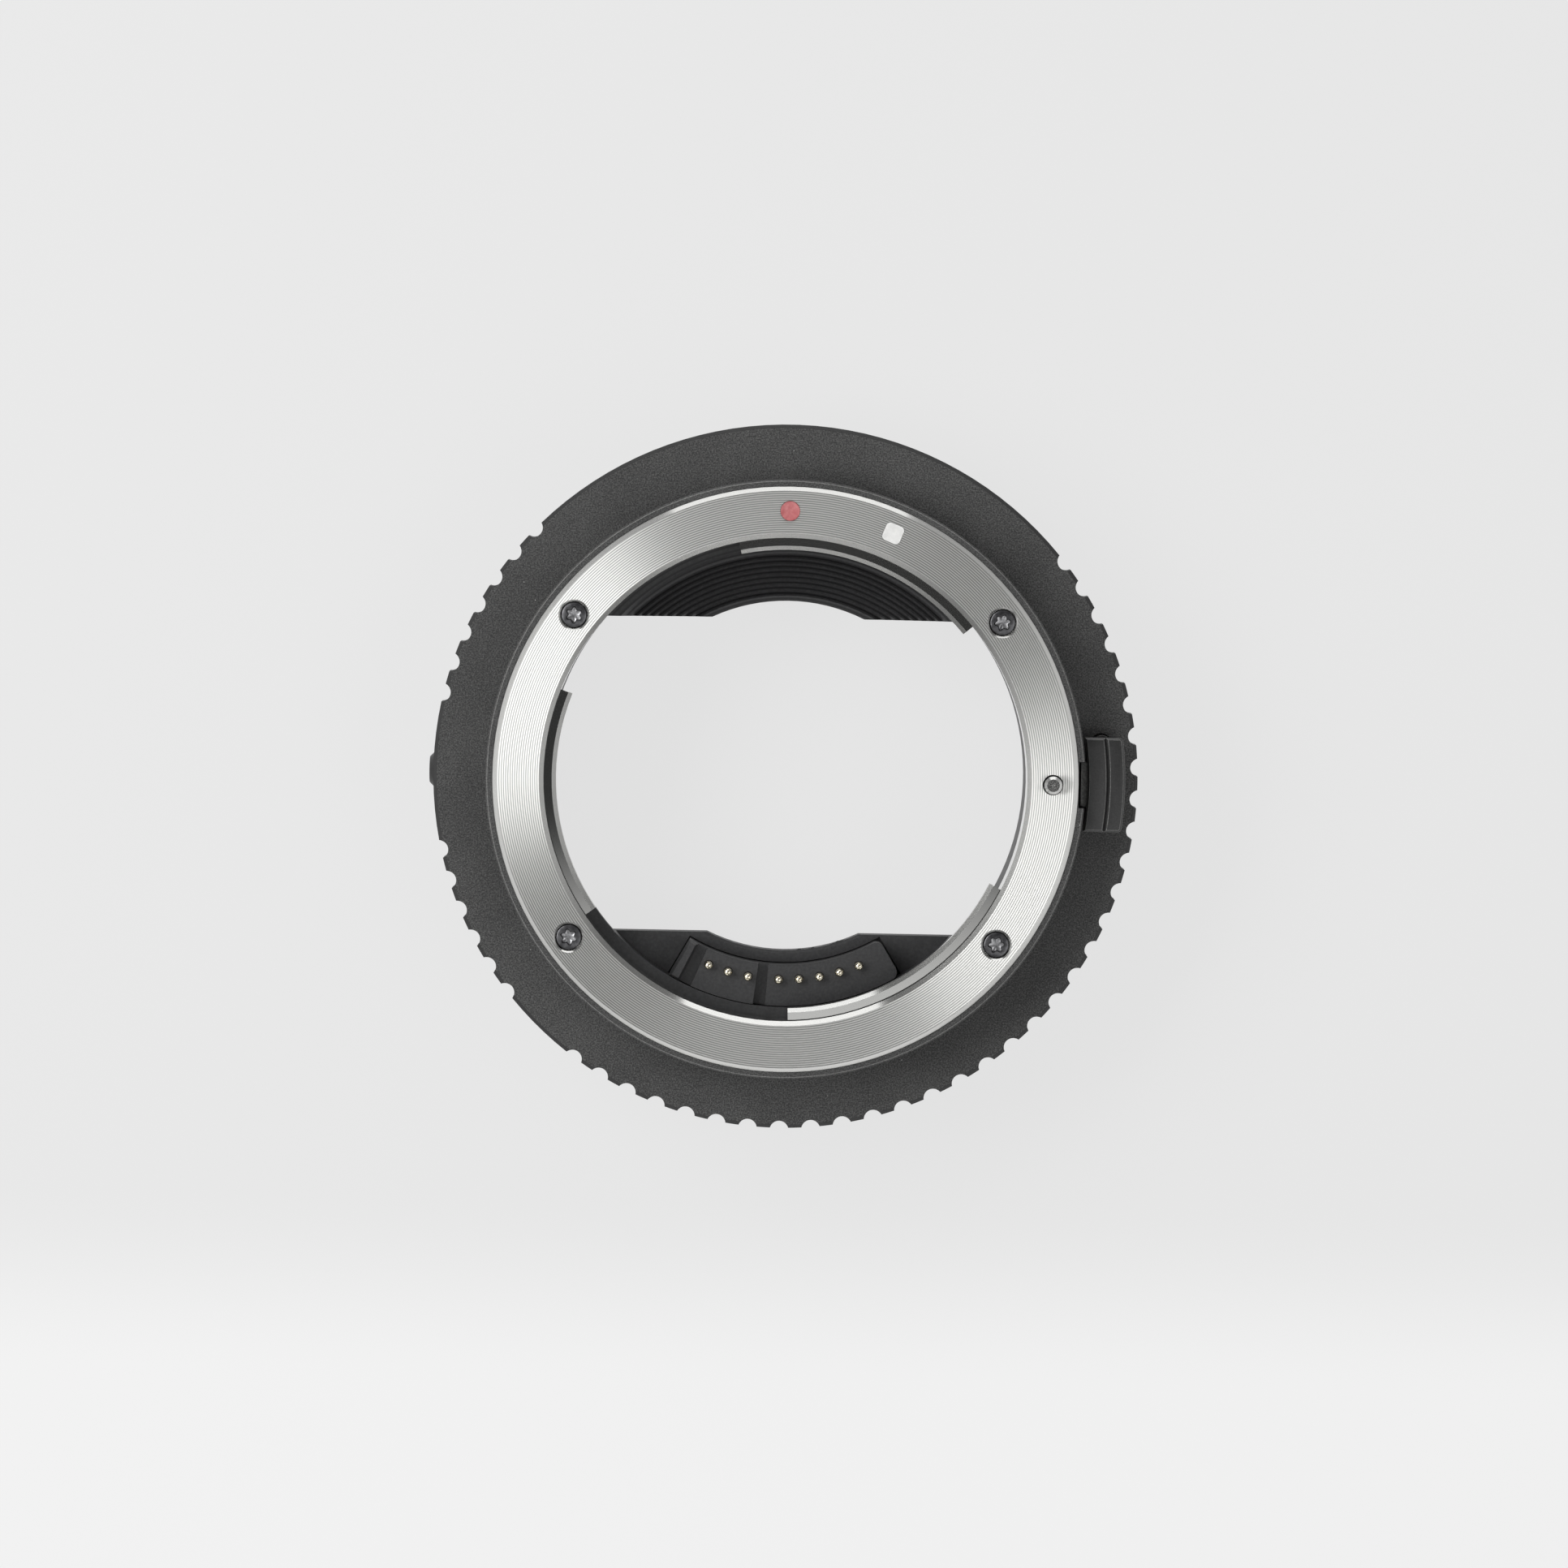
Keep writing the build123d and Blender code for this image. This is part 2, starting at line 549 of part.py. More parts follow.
# Locking pin, riveted to the carrier by its thin tail
with BuildPart() as locking_pin:
    with BuildSketch(upright_plane(pin_x, 0)):
        with BuildLine():
            Polyline(
                (0, carrier_back_z),
                (PIN_TAIL_R, carrier_back_z),
                (PIN_TAIL_R, carrier_top_z),
                (PIN_R, carrier_top_z),
                (PIN_R, lens_seat_z + PIN_RISE - PIN_CHAMFER),
                (PIN_R - PIN_CHAMFER, lens_seat_z + PIN_RISE),
                (0, lens_seat_z + PIN_RISE),
                close=True,
            )
        make_face()
    revolve(axis=Axis((pin_x, 0, 0), (0, 0, 1)))
locking_pin.part.label = "locking_pin"
export_step(locking_pin.part, "parts/locking_pin.step")

# Release lever: thumb block over the rim, tongue in the collar, guide foot through the rim
with BuildPart() as release_lever:
    with BuildSketch(Plane.XY.offset(lever_back_z)):
        Circle(lever_outer_r)
        Circle(lever_inner_r, mode=Mode.SUBTRACT)
        with Locations((lever_inner_r / 2, 0)):
            Rectangle(lever_outer_r, LEVER_LENGTH, align=(Align.MIN, Align.CENTER), mode=Mode.INTERSECT)
    extrude(amount=LEVER_THICK)
    fillet(release_lever.edges().filter_by(Axis.Z).group_by(Axis.X)[-1], LEVER_CORNER)
    chamfer(release_lever.faces().sort_by(Axis.Z)[-1].edges(), LEVER_CHAMFER)
    with BuildSketch(Plane.XZ):
        with Locations((grip_groove_r, lever_top_z)):
            Polygon(
                (-GRIP_GROOVE_WIDTH / 2, 0),
                (0, -GRIP_GROOVE_WIDTH / 2),
                (GRIP_GROOVE_WIDTH / 2, 0),
                align=None,
            )
    revolve(axis=Axis.Z, mode=Mode.SUBTRACT)
    with BuildSketch(Plane.XY.offset(lever_back_z)):
        with Locations((ring_pocket_r + OPEN_GAP, 0)):
            Rectangle(
                2 * (lever_inner_r - ring_pocket_r), TONGUE_WIDTH, align=(Align.MIN, Align.CENTER)
            )
    extrude(amount=LEVER_THICK - TONGUE_STEP - GRIP_GROOVE_WIDTH / 2)
    with BuildSketch(Plane.XY.offset(carrier_top_z)):
        with Locations((guide_x, 0)):
            SlotOverall(GUIDE_LENGTH, GUIDE_WIDTH, rotation=90)
    extrude(amount=lever_back_z - carrier_top_z + LEVER_CHAMFER)
    with BuildSketch(Plane.XY.offset(carrier_top_z)):
        with Locations((guide_x, CARRIER_WIDTH / 4), (guide_x, -CARRIER_WIDTH / 4)):
            Circle(SMALL_SHANK_R + PUSH_GAP)
    extrude(amount=SMALL_GRIP + HEAD_GAP, mode=Mode.SUBTRACT)
release_lever.part.label = "release_lever"
export_step(release_lever.part, "parts/release_lever.step")

# Carrier: steel strip under the rim that ties the lever to the pin
with BuildPart() as release_carrier:
    with BuildSketch(Plane.XY.offset(carrier_back_z)):
        with Locations((pin_x - CARRIER_MARGIN, 0)):
            RectangleRounded(
                guide_x - pin_x + 2 * CARRIER_MARGIN,
                CARRIER_WIDTH,
                CARRIER_MARGIN,
                align=(Align.MIN, Align.CENTER),
            )
        with Locations((pin_x, 0)):
            Circle(PIN_TAIL_R + PUSH_GAP / 2, mode=Mode.SUBTRACT)
        with Locations((guide_x, CARRIER_WIDTH / 4), (guide_x, -CARRIER_WIDTH / 4)):
            Circle(SMALL_SHANK_R + PUSH_GAP, mode=Mode.SUBTRACT)
    extrude(amount=CARRIER_THICK)
release_carrier.part.label = "release_carrier"
export_step(release_carrier.part, "parts/release_carrier.step")

release_screw = star_screw(SMALL_SCREW_HEAD, SMALL_SHANK_R, CARRIER_THICK + SMALL_GRIP)
with BuildPart() as release_screws:
    with Locations(
        rear_plane(guide_x, CARRIER_WIDTH / 4, carrier_back_z),
        rear_plane(guide_x, -CARRIER_WIDTH / 4, carrier_back_z),
    ):
        add(release_screw)
release_screws.part.label = "release_screws"
export_step(release_screws.part, "parts/release_screws.step")

# Return spring: bowed steel strip between the camera ring and the carrier
with BuildPart() as release_spring:
    bow_end = SPRING_SPAN / 2
    bow_inner_end = bow_end - 2 * SPRING_THICK
    bow_top_z = carrier_back_z - STOP_GAP
    with BuildSketch(Plane(origin=(spring_x, 0, 0), x_dir=(0, 1, 0), z_dir=(1, 0, 0))):
        with BuildLine():
            ThreePointArc((-bow_end, camera_top_z), (0, bow_top_z), (bow_end, camera_top_z))
            Line((bow_end, camera_top_z), (bow_inner_end, camera_top_z))
            ThreePointArc(
                (bow_inner_end, camera_top_z),
                (0, bow_top_z - SPRING_THICK),
                (-bow_inner_end, camera_top_z),
            )
            Line((-bow_inner_end, camera_top_z), (-bow_end, camera_top_z))
        make_face()
    extrude(amount=SPRING_WIDTH / 2, both=True)
release_spring.part.label = "release_spring"
export_step(release_spring.part, "parts/release_spring.step")

# Function button: cap with a flange behind the wall
with BuildPart() as function_button:
    with BuildSketch(Plane(origin=(button_flange_x, 0, button_z), z_dir=(-1, 0, 0))):
        Circle(BUTTON_R)
    extrude(amount=rim_r + BUTTON_PROUD + button_flange_x)
    chamfer(function_button.edges().group_by(Axis.X)[0], BUTTON_EDGE)
    with BuildSketch(Plane(origin=(button_flange_x, 0, button_z), z_dir=(1, 0, 0))):
        Circle(BUTTON_FLANGE_R)
    extrude(amount=BUTTON_FLANGE_THICK)
function_button.part.label = "function_button"
export_step(function_button.part, "parts/function_button.step")

# Side-pushed switch that stands on the circuit board
with BuildPart() as button_switch:
    switch_face_x = -board_outer_r + HEAD_GAP
    plunger_x = button_flange_x + BUTTON_FLANGE_THICK + BUTTON_TRAVEL + STOP_GAP
    with BuildSketch(Plane.XY.offset(board_top_z)):
        with Locations((switch_face_x, 0)):
            Rectangle(SWITCH_DEPTH, SWITCH_WIDTH, align=(Align.MIN, Align.CENTER))
    extrude(amount=button_z - board_top_z + 2 * SWITCH_PLUNGER_R)
    with BuildSketch(Plane(origin=(switch_face_x, 0, button_z), z_dir=(-1, 0, 0))):
        Circle(SWITCH_PLUNGER_R)
    extrude(amount=switch_face_x - plunger_x)
button_switch.part.label = "button_switch"
export_step(button_switch.part, "parts/button_switch.step")

# Contact block for the lens: a raised part, a rib and two slots, eight bores over a trough
with BuildPart() as lens_contact_block:
    with BuildSketch(Plane.XY.offset(board_top_z)):
        add(ring_sector(block_inner_r, block_outer_r, *BLOCK_SPAN))
    extrude(amount=block_top_z - board_top_z)
    fillet(lens_contact_block.edges().filter_by(Axis.Z).sort_by(Axis.X)[-2:], BLOCK_CORNER)
    with BuildSketch(Plane.XY.offset(block_top_z)):
        add(ring_sector(block_inner_r, block_outer_r, BLOCK_SPAN[0], BLOCK_STEP_ANGLE))
    extrude(amount=BLOCK_STEP)
    with BuildSketch(Plane.XY.offset(block_high_z)):
        add(ring_sector(block_inner_r, block_outer_r, BLOCK_SPAN[0], BLOCK_RIB_ANGLE))
    extrude(amount=BLOCK_RIB_HEIGHT, taper=RIB_DRAFT)
    for start, face_z in ((BLOCK_RIB_ANGLE, block_high_z), (BLOCK_STEP_ANGLE, block_top_z)):
        with BuildSketch(Plane.XY.offset(face_z)):
            add(ring_sector(block_inner_r, block_outer_r, start, start + BLOCK_SLOT_SPAN))
        extrude(amount=-BLOCK_SLOT_DEPTH, mode=Mode.SUBTRACT)
    with BuildSketch(Plane.XY.offset(board_top_z)):
        add(
            ring_sector(
                contact_circle_r - contact_flange_r - OPEN_GAP,
                contact_circle_r + contact_flange_r + OPEN_GAP,
                BLOCK_SPAN[0] + TROUGH_MARGIN,
                BLOCK_SPAN[1] - TROUGH_MARGIN,
            )
        )
    extrude(amount=trough_top_z - board_top_z, mode=Mode.SUBTRACT)
    with BuildSketch(Plane.XY.offset(trough_top_z)):
        with Locations(*[polar(contact_circle_r, angle) for angle in contact_angles]):
            Circle(CONTACT_R + SLIDE_GAP)
    extrude(amount=block_high_z - trough_top_z, mode=Mode.SUBTRACT)
lens_contact_block.part.label = "lens_contact_block"
export_step(lens_contact_block.part, "parts/lens_contact_block.step")

# Eight sprung contact pins, each with a flange under the block's roof
flange_top_z = trough_top_z - STOP_GAP
flange_back_z = flange_top_z - CONTACT_FLANGE_THICK
for number, angle in enumerate(contact_angles, 1):
    face_z = block_high_z if angle < BLOCK_STEP_ANGLE else block_top_z
    tip_z = face_z + CONTACT_RISE
    place = polar(contact_circle_r, angle)
    with BuildPart() as contact_pin:
        with BuildSketch(upright_plane(*place)):
            with BuildLine():
                Polyline(
                    (0, flange_back_z),
                    (contact_flange_r, flange_back_z),
                    (contact_flange_r, flange_top_z),
                    (CONTACT_R, flange_top_z),
                    (CONTACT_R, tip_z - CONTACT_TIP),
                    (CONTACT_R - CONTACT_TIP, tip_z),
                    (0, tip_z),
                    close=True,
                )
            make_face()
        revolve(axis=Axis((*place, 0), (0, 0, 1)))
    contact_pin.part.label = f"lens_contact_pin_{number}"
    export_step(contact_pin.part, f"parts/lens_contact_pin_{number}.step")

# Light baffle: tube with a grooved funnel above and a plain floor below, both hollow behind
funnel_top_z = baffle_top_z - BAFFLE_STEP
funnel_start_r = baffle_ledge_r - BAFFLE_STEP / 2
funnel_slope = (funnel_top_z - lip_z) / (funnel_start_r - groove_first_r)
lip_back_z = lip_z - LIP_LENGTH
relief_slope = OPENING_RELIEF / (lip_back_z - camera_top_z)


def funnel_z(radius):
    """Height of the funnel's face at a radius."""
    return lip_z + funnel_slope * (radius - groove_first_r)


groove_points = []
for groove in range(GROOVE_COUNT):
    valley_r = groove_first_r + groove * GROOVE_PITCH
    groove_points.append((valley_r, funnel_z(valley_r) - GROOVE_DEPTH))
    groove_points.append((valley_r + GROOVE_PITCH / 2, funnel_z(valley_r + GROOVE_PITCH / 2)))

with BuildPart() as funnel:
    with BuildSketch(Plane.XZ):
        with BuildLine():
            Polyline(
                (opening_r + OPENING_RELIEF, camera_top_z),
                (opening_r, lip_back_z),
                (opening_r, lip_z - OPENING_BEVEL),
                (opening_r + OPENING_BEVEL, lip_z),
                (groove_first_r - GROOVE_PITCH / 2, lip_z),
                *groove_points,
                (funnel_start_r, funnel_top_z),
                (baffle_ledge_r, baffle_top_z),
                (baffle_r, baffle_top_z),
                (baffle_r, camera_top_z),
                close=True,
            )
        make_face()
    revolve(axis=Axis.Z)
    split(bisect_by=Plane((0, opening_half_height, 0), z_dir=(0, 1, 0)))
    split(bisect_by=Plane((0, opening_half_height, lip_back_z), z_dir=(0, 1, relief_slope)))
with BuildPart() as funnel_hollow:
    with BuildSketch(Plane.XZ):
        with BuildLine():
            Polyline(
                (opening_r + BAFFLE_WALL, 0),
                (opening_r + BAFFLE_WALL, lip_z - GROOVE_DEPTH - BAFFLE_WALL),
                (THROAT_R, funnel_z(THROAT_R) - GROOVE_DEPTH - 2 * BAFFLE_WALL),
                (THROAT_R, 0),
                close=True,
            )
        make_face()
    revolve(axis=Axis.Z)
    split(bisect_by=Plane((0, opening_wall_y, 0), z_dir=(0, 1, 0)))
with BuildPart() as floor:
    with BuildSketch(Plane.XZ):
        with BuildLine():
            Polyline(
                (opening_r + OPENING_RELIEF, camera_top_z),
                (opening_r, lip_back_z),
                (opening_r, lip_z - OPENING_BEVEL),
                (opening_r + OPENING_BEVEL, lip_z),
                (baffle_ledge_r, lip_z),
                (baffle_ledge_r, baffle_top_z),
                (baffle_r, baffle_top_z),
                (baffle_r, camera_top_z),
                close=True,
            )
        make_face()
    revolve(axis=Axis.Z)
    split(bisect_by=Plane((0, -opening_half_height, 0), z_dir=(0, -1, 0)))
    split(bisect_by=Plane((0, -opening_half_height, lip_back_z), z_dir=(0, -1, relief_slope)))
with BuildPart() as floor_hollow:
    with BuildSketch(Plane.XY):
        Circle(THROAT_R)
        Circle(opening_r + BAFFLE_WALL, mode=Mode.SUBTRACT)
        with Locations((0, -opening_wall_y)):
            Rectangle(3 * baffle_r, baffle_r, align=(Align.CENTER, Align.MAX), mode=Mode.INTERSECT)
    extrude(amount=lip_z - BAFFLE_WALL)
with BuildPart() as light_baffle:
    with BuildSketch(Plane.XY.offset(camera_top_z)):
        Circle(baffle_r)
        Circle(THROAT_R, mode=Mode.SUBTRACT)
    extrude(amount=baffle_top_z - camera_top_z)
    add(funnel.part)
    add(floor.part)
    add(funnel_hollow.part, mode=Mode.SUBTRACT)
    add(floor_hollow.part, mode=Mode.SUBTRACT)
    with BuildSketch(Plane.XY.offset(baffle_top_z)):
        add(ring_sector(baffle_ledge_r, baffle_r, *LEDGE_TAIL_SPAN))
    extrude(amount=-LEDGE_TAIL_THICK)
    # Posts for the rear cover's screws
    with BuildSketch(Plane.XY.offset(camera_top_z)):
        with Locations(*[polar(post_circle_r, angle) for angle in post_angles]):
            Circle(POST_R)
    extrude(amount=lip_z - camera_top_z)
    with BuildSketch(Plane.XY.offset(camera_top_z)):
        with Locations(*[polar(post_circle_r, angle) for angle in post_angles]):
            Circle(SMALL_SHANK_R + PUSH_GAP)
    extrude(amount=SMALL_GRIP + HEAD_GAP, mode=Mode.SUBTRACT)
    # Window for the contact block, and a gap under the tube for the circuit board
    with BuildSketch(Plane.XY.offset(camera_top_z)):
        add(
            ring_sector(
                block_inner_r - HEAD_GAP,
                baffle_ledge_r,
                BLOCK_SPAN[0] - WINDOW_MARGIN,
                BLOCK_SPAN[1] + WINDOW_MARGIN,
            )
        )
    extrude(amount=lip_z - camera_top_z, mode=Mode.SUBTRACT)
    with BuildSketch(Plane.XY.offset(camera_top_z)):
        add(
            ring_sector(
                baffle_ledge_r,
                baffle_r + OPEN_GAP,
                BOARD_INNER_SPAN[0] - BOARD_MARGIN,
                BOARD_INNER_SPAN[1] + BOARD_MARGIN,
            )
        )
    extrude(amount=board_top_z + HEAD_GAP - camera_top_z, mode=Mode.SUBTRACT)
light_baffle.part.label = "light_baffle"
export_step(light_baffle.part, "parts/light_baffle.step")

# Circuit board: arc in the barrel's cavity with a tab under the contact block
with BuildPart() as circuit_board:
    with BuildSketch(Plane.XY.offset(board_back_z)):
        add(ring_sector(block_inner_r, board_outer_r, *BOARD_INNER_SPAN))
        with Locations((0, -opening_wall_y - BOARD_GAP)):
            Rectangle(3 * baffle_r, baffle_r, align=(Align.CENTER, Align.MAX), mode=Mode.INTERSECT)
        add(ring_sector(board_inner_r, board_outer_r, *BOARD_SPAN))
        with Locations(*[polar(board_screw_r, angle) for angle in BOARD_SCREW_ANGLES]):
            Circle(SMALL_SHANK_R + PUSH_GAP, mode=Mode.SUBTRACT)
    extrude(amount=BOARD_THICK)
circuit_board.part.label = "circuit_board"
export_step(circuit_board.part, "parts/circuit_board.step")

with BuildPart() as control_chip:
    with BuildSketch(Plane.XY.offset(board_top_z)):
        with Locations(Location((*polar(board_screw_r, CHIP_ANGLE), 0), (0, 0, CHIP_ANGLE))):
            Rectangle(CHIP_WIDTH, CHIP_LENGTH)
    extrude(amount=CHIP_THICK)
control_chip.part.label = "control_chip"
export_step(control_chip.part, "parts/control_chip.step")

board_screw = star_screw(SMALL_SCREW_HEAD, SMALL_SHANK_R, BOARD_THICK + SMALL_GRIP)
with BuildPart() as board_screws:
    for angle in BOARD_SCREW_ANGLES:
        with Locations(rear_plane(*polar(board_screw_r, angle), board_back_z)):
            add(board_screw)
board_screws.part.label = "board_screws"
export_step(board_screws.part, "parts/board_screws.step")

# Camera mount ring: seat, spigot and four lugs
with BuildPart() as camera_mount_ring:
    with BuildSketch(Plane.XZ):
        with BuildLine():
            Polyline(
                (camera_lip_r, 0),
                (spigot_bore_r, 0),
                (spigot_bore_r, spigot_end_z),
                (spigot_r, spigot_end_z),
                (spigot_r, 0),
                (camera_ring_r, 0),
                (camera_ring_r, camera_top_z),
                (camera_lip_r, camera_top_z),
                close=True,
            )
        make_face()
    revolve(axis=Axis.Z)
    lug_rear_z = spigot_end_z + CAMERA_LUG_RISE
    for lug in range(CAMERA_LUG_COUNT):
        with BuildSketch(radial_plane(CAMERA_LUG_FIRST + lug * 360 / CAMERA_LUG_COUNT)):
            with BuildLine():
                Polyline(
                    (spigot_r - SPIGOT_WALL / 2, lug_rear_z),
                    (camera_lug_r, lug_rear_z),
                    (camera_lug_r, lug_rear_z + CAMERA_LUG_THICK),
                    (spigot_r - SPIGOT_WALL / 2, lug_rear_z + CAMERA_LUG_THICK),
                    close=True,
                )
            make_face()
        revolve(axis=Axis.Z, revolution_arc=CAMERA_LUG_SPAN)
    camera_head_r, camera_head_height = CAMERA_SCREW_HEAD
    with BuildSketch(Plane.XY):
        with PolarLocations(camera_screw_r, CAMERA_SCREW_COUNT, start_angle=CAMERA_SCREW_FIRST):
            Circle(SCREW_SHANK_R + HEAD_GAP)
        with Locations(polar(camera_screw_r, LOCK_HOLE_ANGLE)):
            Circle(LOCK_HOLE_R)
    extrude(amount=camera_top_z, mode=Mode.SUBTRACT)
    with BuildSketch(Plane.XY):
        with PolarLocations(camera_screw_r, CAMERA_SCREW_COUNT, start_angle=CAMERA_SCREW_FIRST):
            Circle(camera_head_r + HEAD_GAP)
    extrude(amount=camera_head_height + HEAD_SINK, mode=Mode.SUBTRACT)
camera_mount_ring.part.label = "camera_mount_ring"
export_step(camera_mount_ring.part, "parts/camera_mount_ring.step")

camera_seat_z = HEAD_SINK + camera_head_height
camera_screw = star_screw(CAMERA_SCREW_HEAD, SCREW_SHANK_R, camera_top_z - camera_seat_z + SCREW_GRIP)
with BuildPart() as camera_mount_screws:
    for k in range(CAMERA_SCREW_COUNT):
        place = polar(camera_screw_r, CAMERA_SCREW_FIRST + k * 360 / CAMERA_SCREW_COUNT)
        with Locations(rear_plane(*place, camera_seat_z)):
            add(camera_screw)
camera_mount_screws.part.label = "camera_mount_screws"
export_step(camera_mount_screws.part, "parts/camera_mount_screws.step")

# Rear cover: ring inside the spigot, plates behind the baffle and the contacts' platform
cover_top_z = camera_top_z - COVER_RISE_GAP
with BuildPart() as rear_cover:
    with BuildSketch(Plane.XY):
        Circle(cover_r)
        Circle(cover_bore_r, mode=Mode.SUBTRACT)
    extrude(amount=-COVER_LENGTH)
    with BuildSketch(Plane.XY.offset(cover_top_z)):
        Circle(cover_lip_r)
        Rectangle(3 * cover_r, 2 * (opening_half_height + OPENING_RELIEF), mode=Mode.SUBTRACT)
        Circle(opening_r + OPENING_RELIEF, mode=Mode.SUBTRACT)
    extrude(amount=-COVER_PLATE_THICK)
    with BuildSketch(Plane.XY):
        add(
            ring_sector(
                platform_inner_r,
                (cover_bore_r + cover_r) / 2,
                PADS_ANGLE - platform_half_span,
                PADS_ANGLE + platform_half_span,
            )
        )
    extrude(amount=-COVER_LENGTH)
    # One slot for the contacts' tails, and the screws' holes
    with BuildSketch(Plane.XY.offset(cover_top_z)):
        add(
            ring_sector(
                pad_circle_r - PAD_TAIL,
                pad_circle_r + PAD_TAIL,
                PADS_ANGLE - pads_half_span,
                PADS_ANGLE + pads_half_span,
            )
        )
        with Locations(*[polar(post_circle_r, angle) for angle in post_angles]):
            Circle(SMALL_SHANK_R + HEAD_GAP)
    extrude(amount=-cover_top_z - COVER_LENGTH, mode=Mode.SUBTRACT)
rear_cover.part.label = "rear_cover"
export_step(rear_cover.part, "parts/rear_cover.step")

cover_back_z = cover_top_z - COVER_PLATE_THICK
cover_screw = star_screw(
    SMALL_SCREW_HEAD, SMALL_SHANK_R, COVER_PLATE_THICK + COVER_RISE_GAP + SMALL_GRIP
)
with BuildPart() as rear_cover_screws:
    for angle in post_angles:
        with Locations(rear_plane(*polar(post_circle_r, angle), cover_back_z)):
            add(cover_screw)
rear_cover_screws.part.label = "rear_cover_screws"
export_step(rear_cover_screws.part, "parts/rear_cover_screws.step")

# Camera contacts: gold pads with tails that reach the circuit board
with BuildPart() as camera_contact_pads:
    for k in range(PAD_COUNT):
        pad_angle = PADS_ANGLE + (k - (PAD_COUNT - 1) / 2) * PAD_PITCH
        pad_place = Location((*polar(pad_circle_r, pad_angle), -COVER_LENGTH), (0, 0, pad_angle))
        with Locations(pad_place):
            Box(PAD_LENGTH, PAD_WIDTH, PAD_THICK, align=(Align.CENTER, Align.CENTER, Align.MAX))
            Box(
                PAD_TAIL,
                PAD_TAIL,
                COVER_LENGTH + board_back_z,
                align=(Align.CENTER, Align.CENTER, Align.MIN),
            )
camera_contact_pads.part.label = "camera_contact_pads"
export_step(camera_contact_pads.part, "parts/camera_contact_pads.step")
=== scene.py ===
# %% [markdown]
# # Lens mount adapter
# A short black ring that carries a lens in front of a camera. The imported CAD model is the
# fixed frame. This lesson gives it its finishes, swaps a few small solids for finer ones,
# and sets up a studio table that looks like a product photograph taken from straight ahead.

# %% Load the frame and keep its box
import math

import bmesh
import bpy
from mathutils import Matrix, Vector


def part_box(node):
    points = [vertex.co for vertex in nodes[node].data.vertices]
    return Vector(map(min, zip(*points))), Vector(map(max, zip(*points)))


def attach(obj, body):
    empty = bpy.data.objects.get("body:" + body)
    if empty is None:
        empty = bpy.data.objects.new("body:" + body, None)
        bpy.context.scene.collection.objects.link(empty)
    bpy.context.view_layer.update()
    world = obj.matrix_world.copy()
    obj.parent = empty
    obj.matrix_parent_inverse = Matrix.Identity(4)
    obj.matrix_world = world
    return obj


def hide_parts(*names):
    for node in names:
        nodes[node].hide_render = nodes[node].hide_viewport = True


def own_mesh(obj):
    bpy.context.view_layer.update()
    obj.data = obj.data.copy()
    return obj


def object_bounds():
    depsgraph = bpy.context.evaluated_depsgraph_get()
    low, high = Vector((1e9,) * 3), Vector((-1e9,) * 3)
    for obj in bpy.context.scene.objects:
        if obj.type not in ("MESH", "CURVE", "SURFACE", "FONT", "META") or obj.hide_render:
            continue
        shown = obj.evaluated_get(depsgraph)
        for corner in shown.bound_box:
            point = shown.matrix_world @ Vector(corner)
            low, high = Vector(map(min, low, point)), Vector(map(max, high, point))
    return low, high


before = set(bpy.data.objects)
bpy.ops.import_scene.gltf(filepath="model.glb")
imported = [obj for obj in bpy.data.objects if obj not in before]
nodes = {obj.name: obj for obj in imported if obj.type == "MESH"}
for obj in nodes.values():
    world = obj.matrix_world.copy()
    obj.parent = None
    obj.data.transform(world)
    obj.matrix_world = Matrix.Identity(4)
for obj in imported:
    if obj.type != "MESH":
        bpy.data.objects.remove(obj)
MM = 0.001
cad_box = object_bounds()
print("CAD box:", [tuple(round(v, 5) for v in corner) for corner in cad_box])


# %% [markdown]
# ## Two helpers for materials
# Colours are written as sRGB hex, as a colour picker shows them, and Blender wants them linear.
# Node trees get long when each node takes five lines, so one small function adds a node, sets
# its options and values, and links it. A pattern's scale comes from a real size: a noise
# texture with scale s has spots of about 1/s metres, so the spot size in millimetres decides s.

# %% Colour and node helpers
def linear(hex_colour):
    """sRGB hex to linear RGBA."""
    parts = [int(hex_colour[i:i + 2], 16) / 255 for i in (1, 3, 5)]
    rgb = [c / 12.92 if c <= 0.04045 else ((c + 0.055) / 1.055) ** 2.4 for c in parts]
    return (*rgb, 1.0)


def add_node(tree, kind, settings=None, values=None, links=None):
    """Add one node with its options, socket values and incoming links."""
    node = tree.nodes.new(kind)
    for name, value in (settings or {}).items():
        setattr(node, name, value)
    for socket, value in (values or {}).items():
        node.inputs[socket].default_value = value
    for socket, source in (links or {}).items():
        tree.links.new(source, node.inputs[socket])
    return node


def new_material(name, **values):
    """Material with its shader's plain values set, and the place of each point on the piece."""
    material = bpy.data.materials.new(name)
    material.use_nodes = True
    tree = material.node_tree
    shader = tree.nodes["Principled BSDF"]
    for socket, value in values.items():
        shader.inputs[socket.replace("_", " ")].default_value = value
    place = add_node(tree, "ShaderNodeTexCoord").outputs["Object"]
    return material, tree, shader, place


def distance_from_axis(tree, place):
    """Socket with each point's distance from the piece's Z axis."""
    flat = add_node(
        tree,
        "ShaderNodeVectorMath",
        settings={"operation": "MULTIPLY"},
        values={1: (1, 1, 0)},
        links={0: place},
    )
    length = add_node(
        tree,
        "ShaderNodeVectorMath",
        settings={"operation": "LENGTH"},
        links={0: flat.outputs["Vector"]},
    )
    return length.outputs["Value"]


def spots_per_metre(size_mm):
    """Noise scale for spots of a size in millimetres."""
    return 1 / (size_mm * MM)


print("helpers: a 1 mm spot has the noise scale", spots_per_metre(1))


